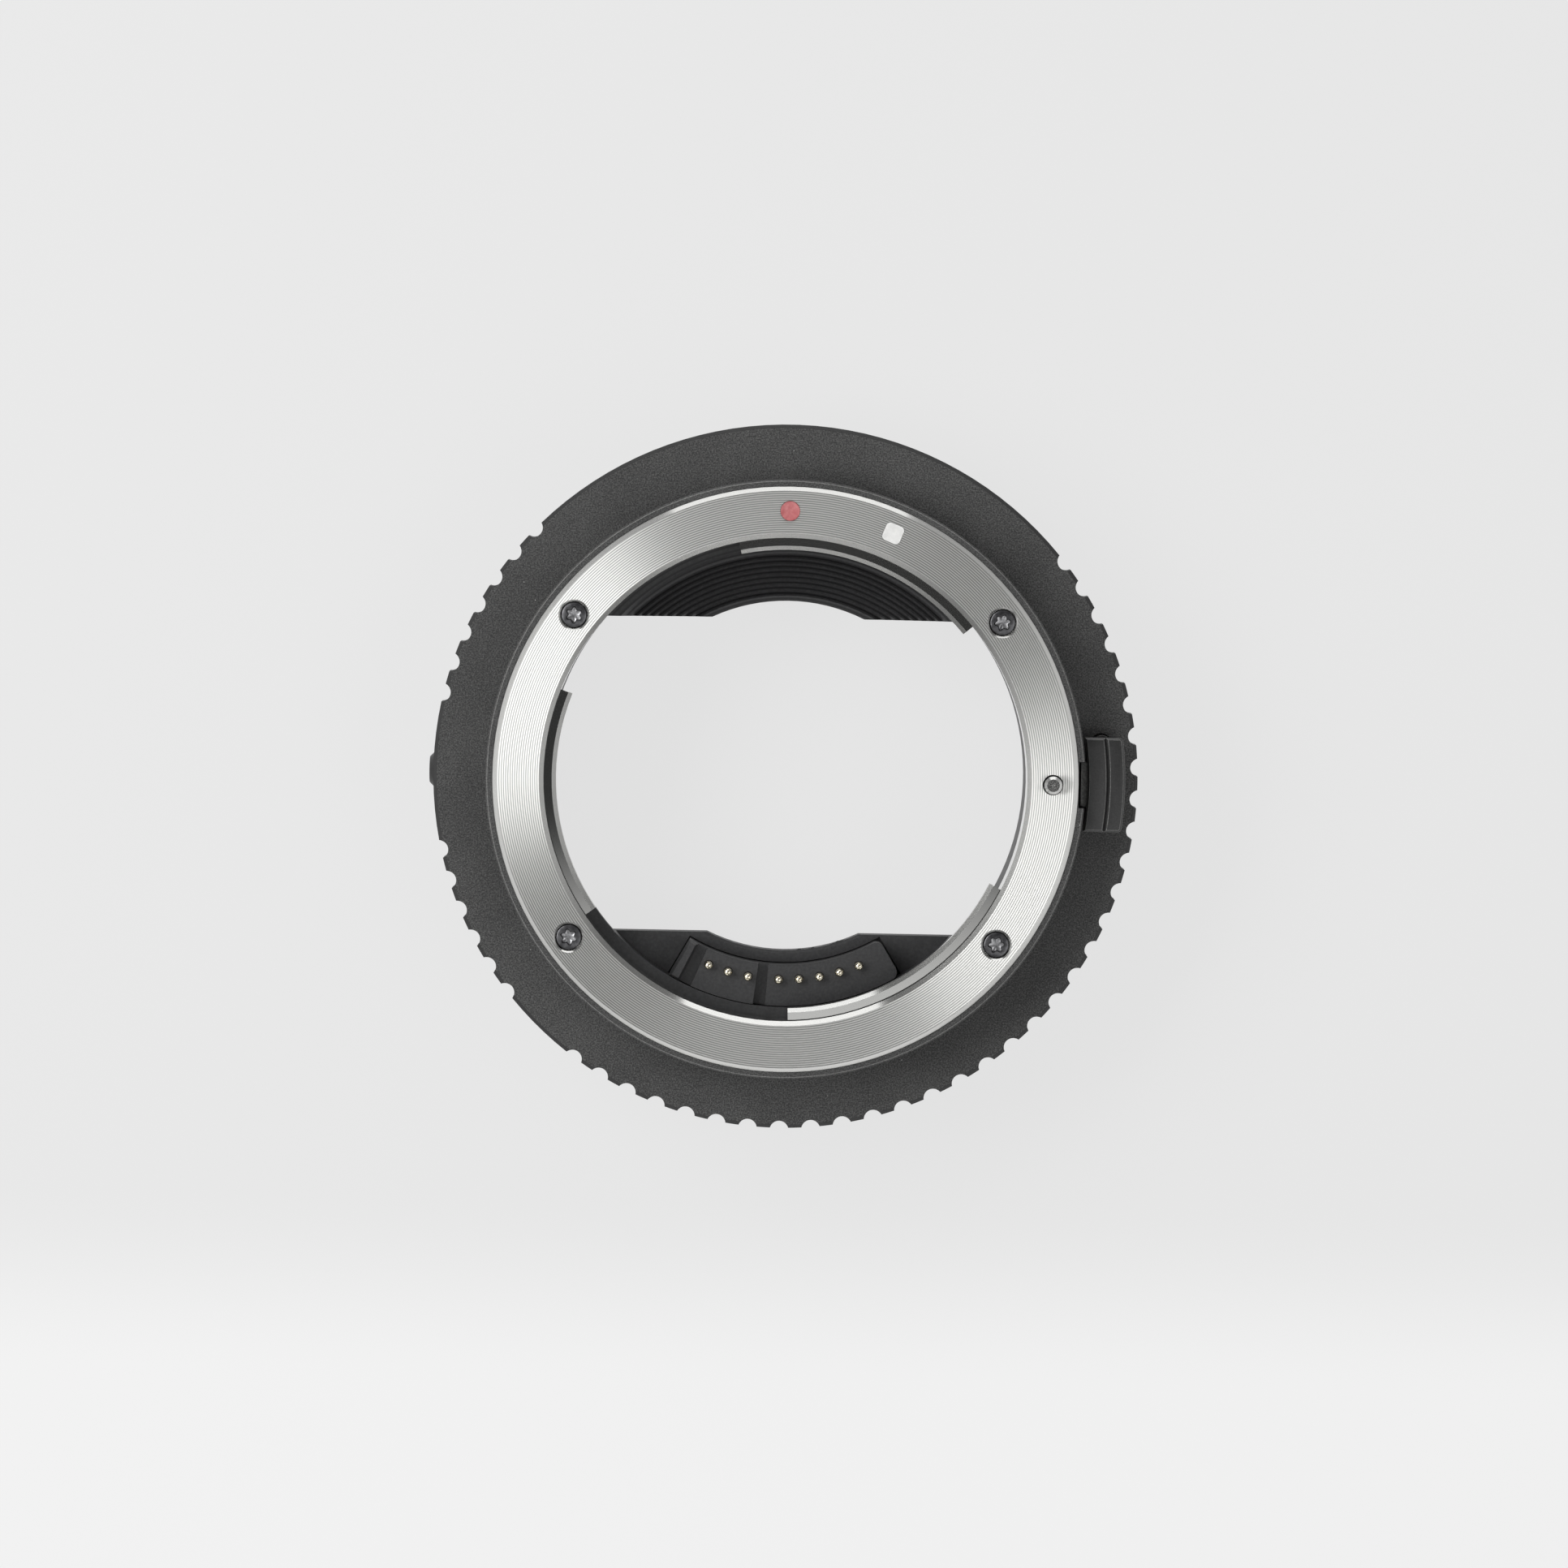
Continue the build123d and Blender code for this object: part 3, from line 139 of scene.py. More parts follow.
# %% [markdown]
# ## Black anodised aluminium
# The barrel is turned from aluminium, blasted with fine beads and then dyed black in the
# anodising bath. The blast leaves tiny dents, so the face looks like fine sand: mostly dark,
# with pale grains where a dent faces the light. Real grit is about 0.1 mm. It is drawn at
# 0.16 mm so that it shows at this picture's scale. A second, slow noise keeps it from looking
# like one flat colour. The sharp edge of the collar gets a pale, broken line, partly wear of
# the dye and partly painted highlight. The chamfer of the rim is painted darker, as painted
# shade. Radius and height tell where both are. A little dust lies on the face: pale specks, a
# few millimetres apart, at the heart of random cells.

# %% Anodised finishes
GRIT_MM = 0.16
GRIT_TONES = (0.4, 0.7)
PATCH_MM = 9.0
PATCH_SHARE = 0.15
EDGE_LINE_MM = 0.08
# pale edge line on the collar: partly worn dye, partly painted highlight
EDGE_WEAR_AND_HIGHLIGHT_COLOUR = "#8a8a88"
COLLAR_EDGE_MM = 33.3
# painted shade on the chamfer of the rim
CHAMFER_SHADE_COLOUR = "#111111"
CHAMFER_FROM_MM = 39.2
CHAMFER_Z_MM = 10.54
DUST_MM = 0.14
DUST_APART_MM = 2.6
DUST_COLOUR = "#8f8f8d"


def anodised(name, dark, pale, grit_mm, roughness, dent, turned_edges=False):
    """Dyed oxide on blasted aluminium: sandy, not metallic to the eye."""
    material, tree, shader, place = new_material(name, IOR=1.6, Roughness=roughness)
    grit = add_node(
        tree,
        "ShaderNodeTexNoise",
        values={"Scale": spots_per_metre(grit_mm), "Detail": 2.0, "Roughness": 0.6},
        links={"Vector": place},
    )
    patch = add_node(
        tree,
        "ShaderNodeTexNoise",
        values={"Scale": spots_per_metre(PATCH_MM), "Detail": 3.0},
        links={"Vector": place},
    )
    both = add_node(
        tree,
        "ShaderNodeMix",
        settings={"data_type": "FLOAT"},
        values={"Factor": PATCH_SHARE},
        links={"A": grit.outputs["Fac"], "B": patch.outputs["Fac"]},
    )
    ramp = add_node(tree, "ShaderNodeValToRGB", links={"Fac": both.outputs["Result"]})
    for stop, position, colour in zip(ramp.color_ramp.elements, GRIT_TONES, (dark, pale)):
        stop.position = position
        stop.color = linear(colour)
    tint = ramp.outputs["Color"]
    if turned_edges:
        radius = distance_from_axis(tree, place)
        # pale broken line on the collar's edge: partly wear, partly painted highlight
        collar_edge = add_node(
            tree,
            "ShaderNodeMath",
            settings={"operation": "COMPARE"},
            values={1: COLLAR_EDGE_MM * MM, 2: EDGE_LINE_MM / 2 * MM},
            links={0: radius},
        )
        broken = add_node(
            tree,
            "ShaderNodeMath",
            settings={"operation": "MULTIPLY"},
            links={0: collar_edge.outputs[0], 1: grit.outputs["Fac"]},
        )
        height = add_node(tree, "ShaderNodeSeparateXYZ", links={"Vector": place}).outputs["Z"]
        outside, above = [
            add_node(
                tree,
                "ShaderNodeMath",
                settings={"operation": "GREATER_THAN"},
                values={1: limit * MM},
                links={0: socket},
            )
            for limit, socket in ((CHAMFER_FROM_MM, radius), (CHAMFER_Z_MM, height))
        ]
        # painted shade: the rim chamfer gets a darker colour
        chamfer = add_node(
            tree,
            "ShaderNodeMath",
            settings={"operation": "MULTIPLY"},
            links={0: outside.outputs[0], 1: above.outputs[0]},
        )
        cells = add_node(
            tree,
            "ShaderNodeTexVoronoi",
            values={"Scale": spots_per_metre(DUST_APART_MM)},
            links={"Vector": place},
        )
        speck = add_node(
            tree,
            "ShaderNodeMath",
            settings={"operation": "LESS_THAN"},
            values={1: DUST_MM / 2 / DUST_APART_MM},
            links={0: cells.outputs["Distance"]},
        )
        # layers: edge line (wear and painted highlight), painted shade on the rim chamfer, dust
        layers = ((broken, EDGE_WEAR_AND_HIGHLIGHT_COLOUR), (chamfer, CHAMFER_SHADE_COLOUR), (speck, DUST_COLOUR))
        for share, colour in layers:
            tint = add_node(
                tree,
                "ShaderNodeMixRGB",
                values={"Color2": linear(colour)},
                links={"Fac": share.outputs[0], "Color1": tint},
            ).outputs["Color"]
    tree.links.new(tint, shader.inputs["Base Color"])
    bump = add_node(
        tree,
        "ShaderNodeBump",
        values={"Strength": 0.5, "Distance": dent * MM},
        links={"Height": grit.outputs["Fac"]},
    )
    tree.links.new(bump.outputs["Normal"], shader.inputs["Normal"])
    return material


blasted_black = anodised(
    "bead_blasted_black_anodise",
    "#0e0e0e",
    "#575756",
    GRIT_MM,
    0.58,
    0.03,
    turned_edges=True,
)
smooth_black = anodised("smooth_black_anodise", "#181818", "#272727", GRIT_MM, 0.36, 0.005)
# lighter black for the lever: painted highlight on its edges, painted light on its tongue
painted_light_black = anodised("painted_light_black_anodise", "#4e4e4d", "#747472", GRIT_MM, 0.3, 0.003)
for finish in (blasted_black, smooth_black, painted_light_black):
    print(finish.name, len(finish.node_tree.nodes), "nodes")

# %% [markdown]
# ## Turned chrome
# Both mount rings are brass with hard chrome, faced on a lathe. The tool leaves concentric
# lines, and light spreads across them, so such a ring shows bright sectors that fan out from
# the axis. The lines are a wave of the distance from the axis, with a slower noise that makes
# some deeper than others. The wave tilts the face and also darkens its colour in the grooves,
# which is painted shade. A real tool mark is about 0.05 mm wide. It is drawn at 0.25 mm, as
# the photograph resolves it. Only flat faces have these lines, so the surface's own direction
# switches them off on bevels and walls.

# %% Turned chrome finish
TOOL_MARK_MM = 0.25
TOOL_MARK_DEPTH_MM = 0.014
UNEVEN_MM = 0.625
LINE_SWING = 0.3
CHROME_COLOUR = "#f8f8f5"
# painted shade: chrome colour in the tool grooves
GROOVE_SHADE_COLOUR = "#b2b2b0"
FACE_ROUGHNESS = 0.42
BEVEL_ROUGHNESS = 0.17
LUG_ROUGHNESS = 0.05
FLAT_COSINE = 0.85


def turned(name, face_mm, lug_mm=(0, 0)):
    """Lathe-faced metal, its flat face and its polished lugs each between two radii in mm."""
    material, tree, shader, place = new_material(
        name, Metallic=1.0, Anisotropic=0.95, Anisotropic_Rotation=0.25
    )
    radius = distance_from_axis(tree, place)
    phase = add_node(
        tree,
        "ShaderNodeMath",
        settings={"operation": "MULTIPLY"},
        values={1: 2 * math.pi / (TOOL_MARK_MM * MM)},
        links={0: radius},
    )
    wave = add_node(
        tree, "ShaderNodeMath", settings={"operation": "SINE"}, links={0: phase.outputs[0]}
    )
    uneven = add_node(
        tree,
        "ShaderNodeTexNoise",
        settings={"noise_dimensions": "1D"},
        values={"Scale": spots_per_metre(UNEVEN_MM), "Detail": 4.0},
        links={"W": radius},
    )
    in_band, on_lug = [
        add_node(
            tree,
            "ShaderNodeMath",
            settings={"operation": "COMPARE"},
            values={1: (inner + outer) / 2 * MM, 2: (outer - inner) / 2 * MM},
            links={0: radius},
        )
        for inner, outer in (face_mm, lug_mm)
    ]
    normal = add_node(tree, "ShaderNodeNewGeometry").outputs["True Normal"]
    rise = add_node(tree, "ShaderNodeSeparateXYZ", links={"Vector": normal}).outputs["Z"]
    upright = add_node(
        tree, "ShaderNodeMath", settings={"operation": "ABSOLUTE"}, links={0: rise}
    )
    flat = add_node(
        tree,
        "ShaderNodeMath",
        settings={"operation": "GREATER_THAN"},
        values={1: FLAT_COSINE},
        links={0: upright.outputs[0]},
    )
    on_face = add_node(
        tree,
        "ShaderNodeMath",
        settings={"operation": "MULTIPLY"},
        links={0: in_band.outputs[0], 1: flat.outputs[0]},
    )
    depth = add_node(
        tree,
        "ShaderNodeMath",
        settings={"operation": "MULTIPLY"},
        links={0: on_face.outputs[0], 1: uneven.outputs["Fac"]},
    )
    lines = add_node(
        tree,
        "ShaderNodeMath",
        settings={"operation": "MULTIPLY"},
        links={0: wave.outputs[0], 1: depth.outputs[0]},
    )
    # painted shade: the wave picks a darker colour in the grooves
    crest = add_node(
        tree,
        "ShaderNodeMapRange",
        values={"From Min": -LINE_SWING, "From Max": LINE_SWING},
        links={"Value": lines.outputs[0]},
    )
    tint = add_node(
        tree,
        "ShaderNodeMixRGB",
        values={"Color1": linear(GROOVE_SHADE_COLOUR), "Color2": linear(CHROME_COLOUR)},
        links={"Fac": crest.outputs["Result"]},
    )
    tree.links.new(tint.outputs["Color"], shader.inputs["Base Color"])
    bump = add_node(
        tree,
        "ShaderNodeBump",
        values={"Strength": 0.6, "Distance": TOOL_MARK_DEPTH_MM * MM},
        links={"Height": lines.outputs[0]},
    )
    tree.links.new(bump.outputs["Normal"], shader.inputs["Normal"])
    gloss = add_node(
        tree,
        "ShaderNodeMapRange",
        values={"To Min": BEVEL_ROUGHNESS, "To Max": FACE_ROUGHNESS},
        links={"Value": on_face.outputs[0]},
    )
    polished = add_node(
        tree,
        "ShaderNodeMath",
        settings={"operation": "MULTIPLY_ADD"},
        values={1: LUG_ROUGHNESS - BEVEL_ROUGHNESS},
        links={0: on_lug.outputs[0], 2: gloss.outputs["Result"]},
    )
    tree.links.new(polished.outputs[0], shader.inputs["Roughness"])
    tangent = add_node(
        tree, "ShaderNodeTangent", settings={"direction_type": "RADIAL", "axis": "Z"}
    )
    tree.links.new(tangent.outputs["Tangent"], shader.inputs["Tangent"])
    return material


LENS_FACE_MM = (27.47, 32.3)
LENS_LUG_MM = (26.1, 27.0)
CAMERA_FACE_MM = (24.0, 37.9)
lens_chrome = turned("turned_hard_chrome_lens_side", LENS_FACE_MM, LENS_LUG_MM)
camera_chrome = turned("turned_hard_chrome_camera_side", CAMERA_FACE_MM)
print("turned finishes:", lens_chrome.name, camera_chrome.name)

# %% [markdown]
# ## Black moulding, plated steel, gold and enamel
# The baffle, the contact block and the rear cover are moulded in black plastic from a spark
# eroded tool, which gives an even, matt skin. Screws and pin are steel, the contacts are gold
# over nickel, and the marks are enamel wiped into a recess. Each is one noise on one shader.

# %% Small finishes
GRAIN_TONES = (0.35, 0.7)


def grained(name, low, high, spot_mm, bump_mm, **values):
    """One finish with a fine grain in colour and height."""
    material, tree, shader, place = new_material(name, **values)
    grain = add_node(
        tree,
        "ShaderNodeTexNoise",
        values={"Scale": spots_per_metre(spot_mm), "Detail": 3.0},
        links={"Vector": place},
    )
    ramp = add_node(tree, "ShaderNodeValToRGB", links={"Fac": grain.outputs["Fac"]})
    for stop, position, colour in zip(ramp.color_ramp.elements, GRAIN_TONES, (low, high)):
        stop.position = position
        stop.color = linear(colour)
    tree.links.new(ramp.outputs["Color"], shader.inputs["Base Color"])
    bump = add_node(
        tree,
        "ShaderNodeBump",
        values={"Strength": 0.4, "Distance": bump_mm * MM},
        links={"Height": grain.outputs["Fac"]},
    )
    tree.links.new(bump.outputs["Normal"], shader.inputs["Normal"])
    return material


MOULDED = ("#2a2a2b", "#363637", 0.3, 0.004)
matt_black = grained("spark_eroded_black_plastic", *MOULDED, Roughness=0.5)
ribbed_black = grained("spark_eroded_black_plastic_ribbed", *MOULDED, Roughness=0.5)
switch_black = grained("moulded_black_plastic", "#191919", "#222222", 0.4, 0.01, Roughness=0.4)
screw_steel = grained(
    "dark_plated_steel", "#4e4e50", "#6e6e70", 0.5, 0.004, Metallic=1.0, Roughness=0.34
)
# painted shade for the chamfer and wall of the screw recess
recess_shade_steel = grained("recess_painted_shade_steel", "#161617", "#242425", 0.3, 0.004, Roughness=0.4)
# painted highlight for the floor of the screw recess
floor_highlight_steel = grained(
    "recess_floor_painted_highlight_steel", "#7e7e80", "#b4b4b6", 0.3, 0.01, Metallic=1.0, Roughness=0.36
)
pin_steel = grained(
    "ground_steel", "#c4c4c2", "#dcdcda", 0.12, 0.004, Metallic=1.0, Roughness=0.2
)
struck_steel = grained(
    "struck_steel", "#3a3a39", "#b8b8b6", 0.12, 0.012, Metallic=1.0, Roughness=0.22
)
strip_steel = grained(
    "rolled_steel", "#7d7d7f", "#a0a0a2", 0.7, 0.004, Metallic=1.0, Roughness=0.35
)
gold = grained("pale_gold_plate", "#cfc6b0", "#ece6d6", 0.3, 0.004, Metallic=1.0, Roughness=0.2)
red_enamel = grained("red_enamel", "#ad5b5d", "#c27b7c", 0.5, 0.01, Roughness=0.35)
white_enamel = grained("white_enamel", "#d9d9d7", "#e6e6e4", 0.5, 0.01, Roughness=0.4)
board_mask = grained("green_board_mask", "#0f4a2a", "#176238", 1.2, 0.01, Roughness=0.35)
print("materials so far:", len(bpy.data.materials))

# %% [markdown]
# ## Ribs of the baffle
# The upper half of the baffle is ribbed to catch stray light. A wave of the radius, in step
# with the ribs of the solid, darkens the valleys in colour, which is painted shade. The lower
# half is plain: there the wave is switched off by the sign of Y.

# %% Painted shade in the valleys between the ribs
RIB_PITCH_MM = 0.6
VALLEY_RADIUS_MM = 20.65
# colour of the painted shade in the rib valleys
VALLEY_SHADE_COLOUR = "#141415"
tree = ribbed_black.node_tree
shader = tree.nodes["Principled BSDF"]
place = tree.nodes["Texture Coordinate"].outputs["Object"]
from_valley = add_node(
    tree,
    "ShaderNodeMath",
    settings={"operation": "SUBTRACT"},
    values={1: VALLEY_RADIUS_MM * MM},
    links={0: distance_from_axis(tree, place)},
)
rib_phase = add_node(
    tree,
    "ShaderNodeMath",
    settings={"operation": "MULTIPLY"},
    values={1: 2 * math.pi / (RIB_PITCH_MM * MM)},
    links={0: from_valley.outputs[0]},
)
rib_wave = add_node(
    tree, "ShaderNodeMath", settings={"operation": "COSINE"}, links={0: rib_phase.outputs[0]}
)
along_y = add_node(tree, "ShaderNodeSeparateXYZ", links={"Vector": place}).outputs["Y"]
upper = add_node(
    tree,
    "ShaderNodeMath",
    settings={"operation": "GREATER_THAN"},
    values={1: 0.0},
    links={0: along_y},
)
# painted shade: the wave darkens the valleys of the upper half
valley_shade = add_node(
    tree,
    "ShaderNodeMath",
    settings={"operation": "MULTIPLY", "use_clamp": True},
    links={0: rib_wave.outputs[0], 1: upper.outputs[0]},
)
moulded = shader.inputs["Base Color"].links[0].from_socket
darker = add_node(
    tree,
    "ShaderNodeMixRGB",
    values={"Color2": linear(VALLEY_SHADE_COLOUR)},
    links={"Fac": valley_shade.outputs[0], "Color1": moulded},
)
tree.links.new(darker.outputs["Color"], shader.inputs["Base Color"])
print("rib pitch (mm):", RIB_PITCH_MM)

# %% [markdown]
# ## Dress the frame
# A CAD solid whose shape is right stays as it is and only gets a finish. Its object keeps one
# material slot per packed finish, so the new material takes the place of every slot.

# %% Give each node its finish
FINISHES = {
    blasted_black: ["barrel"],
    smooth_black: ["release_lever"],
    lens_chrome: ["lens_mount_ring"],
    camera_chrome: ["camera_mount_ring"],
    ribbed_black: ["light_baffle"],
    matt_black: ["lens_contact_block", "rear_cover"],
    switch_black: ["function_button", "button_switch", "control_chip"],
    screw_steel: ["board_screws", "release_screws"],
    strip_steel: ["release_carrier"],
    gold: ["camera_contact_pads"],
    red_enamel: ["red_index_dot", "camera_index_dot"],
    white_enamel: ["white_index_mark"],
    board_mask: ["circuit_board"],
}
for finish, names in FINISHES.items():
    for name in names:
        for slot in nodes[name].material_slots:
            slot.material = finish
print("dressed:", sum(len(names) for names in FINISHES.values()), "nodes")


# %% [markdown]
# ## Turned pieces from a profile
# Screws, pins and contacts are all turned. One half of the section is drawn as a chain of
# points in millimetres, spun once round the axis and welded, which is how a lathe makes them.

# %% Lathe helper
WELD_MM = 0.002
SMOOTH_ANGLE = 32


def lathe(profile, steps=48):
    """Spin a chain of (radius, height) points in millimetres round Z."""
    shape = bmesh.new()
    chain = [shape.verts.new((r * MM, 0, z * MM)) for r, z in profile]
    links = [shape.edges.new(pair) for pair in zip(chain, chain[1:])]
    bmesh.ops.spin(
        shape,
        geom=chain + links,
        cent=(0, 0, 0),
        axis=(0, 0, 1),
        dvec=(0, 0, 0),
        angle=2 * math.pi,
        steps=steps,
        use_merge=True,
    )
    bmesh.ops.remove_doubles(shape, verts=shape.verts, dist=WELD_MM * MM)
    bmesh.ops.recalc_face_normals(shape, faces=shape.faces)
    return shape


def piece_from(shape, name, finish, places=(Matrix.Identity(4),)):
    """One object that holds the shape once at each place; the shape is used up."""
    mesh = bpy.data.meshes.new(name)
    single = bpy.data.meshes.new(name + "_one")
    shape.to_mesh(single)
    shape.free()
    whole = bmesh.new()
    for place in places:
        first = len(whole.verts)
        whole.from_mesh(single)
        whole.verts.ensure_lookup_table()
        bmesh.ops.transform(whole, matrix=place, verts=whole.verts[first:])
    whole.to_mesh(mesh)
    whole.free()
    bpy.data.meshes.remove(single)
    mesh.materials.append(finish)
    mesh.shade_smooth()
    mesh.set_sharp_from_angle(angle=math.radians(SMOOTH_ANGLE))
    piece = bpy.data.objects.new(name, mesh)
    bpy.context.scene.collection.objects.link(piece)
    return piece


print("edges sharper than", SMOOTH_ANGLE, "degrees stay sharp")

# %% [markdown]
# ## Screws with a star recess
# The four screws of the lens ring are the sharpest small detail in the photograph. The head is
# turned with a broken edge. The recess starts as the round hole that the spin leaves in the
# head. Its rim is pushed in and out six times round, then sunk in three steps: a chamfer, a
# wall with a little draft, and the cone that the punch leaves at the bottom. Chamfer and wall
# get a second, darker material, which is painted shade in the recess. The floor gets a third,
# lighter one, which is a painted highlight.

# %% Star screw shape
LOBE_COUNT = 6
LOBE_SWING = 0.15
RECESS_SHARE = 0.68
EDGE_SHARE = 0.12
DEPTH_SHARE = 0.55
WALL_STEPS = ((0.89, 0.16), (0.93, 0.5))
CONE_SHARE = 0.3


def star_screw(head_r, head_top, head_under, shank_r, shank_end):
    """Cap screw along Z, heights in millimetres, with a six-lobed recess in its head."""
    recess_r = RECESS_SHARE * head_r
    edge = EDGE_SHARE * head_r
    depth = DEPTH_SHARE * (head_top - head_under)
    shape = lathe(
        [
            (0, shank_end),
            (shank_r, shank_end),
            (shank_r, head_under),
            (head_r, head_under),
            (head_r, head_top - edge),
            (head_r - edge / 2, head_top - edge / 4),
            (head_r - edge, head_top),
            (recess_r, head_top),
        ],
        steps=12 * LOBE_COUNT,
    )
    rim = [e for e in shape.edges if e.is_boundary]
    for vert in {v for e in rim for v in e.verts}:
        turn = math.atan2(vert.co.y, vert.co.x)
        lobe = 1 - LOBE_SWING + LOBE_SWING * math.cos(LOBE_COUNT * turn)
        vert.co.x *= lobe
        vert.co.y *= lobe
    for narrow, down in WALL_STEPS:
        rim = [e for e in shape.edges if e.is_boundary]
        wall = bmesh.ops.extrude_edge_only(shape, edges=rim)["geom"]
        # painted shade on the chamfer and wall of the recess
        for face in (g for g in wall if isinstance(g, bmesh.types.BMFace)):
            face.material_index = 1
        bottom = [g for g in wall if isinstance(g, bmesh.types.BMVert)]
        bmesh.ops.scale(shape, vec=(narrow, narrow, 1), verts=bottom)
        bmesh.ops.translate(shape, vec=(0, 0, -down * depth * MM), verts=bottom)
    rim = [e for e in shape.edges if e.is_boundary]
    floor_face = bmesh.ops.holes_fill(shape, edges=rim, sides=0)["faces"]
    bmesh.ops.recalc_face_normals(shape, faces=shape.faces)
    cone = bmesh.ops.poke(shape, faces=floor_face, offset=-CONE_SHARE * depth * MM)["faces"]
    # painted highlight on the cone floor of the recess
    for face in cone:
        face.material_index = 2
    return shape


def millimetres(node):
    """Lowest and highest corner of a node, in millimetres."""
    low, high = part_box(node)
    return low / MM, high / MM


def ring_places(radius, angles, turns, flip=False):
    """Places round the axis, in millimetres and degrees, each turned on its own."""
    places = []
    for angle, turn in zip(angles, turns):
        spot = Matrix.Rotation(math.radians(angle), 4, "Z")
        spot = spot @ Matrix.Translation((radius * MM, 0, 0))
        if flip:
            spot = spot @ Matrix.Rotation(math.pi, 4, "X")
        places.append(spot @ Matrix.Rotation(math.radians(turn - angle), 4, "Z"))
    return places


print("recess:", LOBE_COUNT, "lobes")

# %% [markdown]
# ## Three sets of screws
# The same shape serves the lens ring, the camera ring and the rear cover. The heads of the last
# two look down, so their heights are counted from below. No two screws of a set are tightened
# to the same angle.

# %% Star screws
SCREW_SETS = (
    {
        "node": "lens_mount_screws",
        "piece": "star_screws_of_lens_ring",
        "head_r": 1.45,
        "head_high": 1.15,
        "shank_r": 0.8,
        "circle_r": 29.9,
        "angles": (37, 143, 217, 323),
        "turns": (12, 28, 41, 5),
        "flip": False,
    },
    {
        "node": "camera_mount_screws",
        "piece": "star_screws_of_camera_ring",
        "head_r": 1.45,
        "head_high": 1.0,
        "shank_r": 0.8,
        "circle_r": 35.2,
        "angles": (45, 135, 225, 315),
        "turns": (20, 3, 47, 33),
        "flip": True,
    },
    {
        "node": "rear_cover_screws",
        "piece": "star_screws_of_rear_cover",
        "head_r": 1.1,
        "head_high": 0.6,
        "shank_r": 0.55,
        "circle_r": 25.0,
        "angles": (51.5, 128.5, 231.5, 308.5),
        "turns": (8, 50, 22, 36),
        "flip": True,
    },
)
for kind in SCREW_SETS:
    low, high = millimetres(kind["node"])
    top, end = (-low.z, -high.z) if kind["flip"] else (high.z, low.z)
    screws = piece_from(
        star_screw(kind["head_r"], top, top - kind["head_high"], kind["shank_r"], end),
        kind["piece"],
        screw_steel,
        ring_places(kind["circle_r"], kind["angles"], kind["turns"], kind["flip"]),
    )
    # second slot: painted shade of the recess wall; third: painted highlight of its floor
    screws.data.materials.append(recess_shade_steel)
    screws.data.materials.append(floor_highlight_steel)
    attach(screws, "adapter_body")
    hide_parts(kind["node"])
    print(screws.name, len(screws.data.polygons), "faces")

# %% [markdown]
# ## Contact pins and locking pin
# Each contact is a plunger with a domed tip, so that it slides over the lens's pads. The dome
# is a quarter circle in the profile. The locking pin ends in a bevel with a small centre mark
# from the lathe, which shows as a bright ring with a dot in the photograph. Its end face is
# struck by every lens that goes on, so it is darker and mottled.

# %% Pins
DOME_STEPS = 8


def dome(radius, top):
    """Profile points of a round tip, from its widest to its top."""
    points = []
    for step in range(DOME_STEPS + 1):
        a = math.radians(90 * step / DOME_STEPS)
        points.append((radius * math.cos(a), top - radius * (1 - math.sin(a))))
    return points


CONTACT_R = 0.49
FLANGE_THICK = 0.5
for number in range(1, 9):
    node = f"lens_contact_pin_{number}"
    low, high = millimetres(node)
    flange_r = (high.x - low.x) / 2
    middle = Vector(((low.x + high.x) / 2, (low.y + high.y) / 2, 0)) * MM
    plunger = lathe(
        [
            (0, low.z),
            (flange_r, low.z),
            (flange_r, low.z + FLANGE_THICK),
            (CONTACT_R, low.z + FLANGE_THICK),
            *dome(CONTACT_R, high.z),
        ],
        steps=32,
    )
    contact = piece_from(plunger, f"domed_contact_{number}", gold, [Matrix.Translation(middle)])
    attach(contact, f"contact_{number}")
    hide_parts(node)

PIN_R = 1.0
PIN_TAIL_R = 0.75
PIN_BEVEL = 0.3
MARK_R = 0.2
low, high = millimetres("locking_pin")
carrier_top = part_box("release_carrier")[1].z / MM
pin_shape = lathe(
    [
        (0, low.z),
        (PIN_TAIL_R, low.z),
        (PIN_TAIL_R, carrier_top),
        (PIN_R, carrier_top),
        (PIN_R, high.z - PIN_BEVEL),
        (PIN_R - PIN_BEVEL, high.z),
        (MARK_R, high.z),
        (0, high.z - MARK_R),
    ]
)
for face in pin_shape.faces:
    if face.calc_center_median().z > (high.z - PIN_BEVEL / 3) * MM:
        face.material_index = 1
pin_place = Matrix.Translation(((low.x + high.x) / 2 * MM, 0, 0))
pin = piece_from(pin_shape, "bevelled_locking_pin", pin_steel, [pin_place])
pin.data.materials.append(struck_steel)
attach(pin, "lens_release")
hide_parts("locking_pin")
print("pins: 8 contacts and 1 lock")

# %% [markdown]
# ## Red dot
# Enamel shrinks as it dries and leaves a shallow dish that catches the light in its middle.
# Its section is a few steps, each a share of the dot's radius and of the dish's depth.

# %% Dished dot
DISH_DEPTH = 0.14
DISH_STEPS = ((1.0, 0.0), (0.8, 0.3), (0.45, 0.8), (0.15, 1.0), (0.0, 1.0))
low, high = millimetres("red_index_dot")
dot_r = (high.x - low.x) / 2
dish = [(across * dot_r, high.z - down * DISH_DEPTH) for across, down in DISH_STEPS]
dot_shape = lathe([(0, low.z), (dot_r, low.z), *dish])
dot_middle = Vector(((low.x + high.x) / 2, (low.y + high.y) / 2, 0)) * MM
dot = piece_from(dot_shape, "dished_red_dot", red_enamel, [Matrix.Translation(dot_middle)])
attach(dot, "adapter_body")
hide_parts("red_index_dot")
print(dot.name, len(dot.data.polygons), "faces")

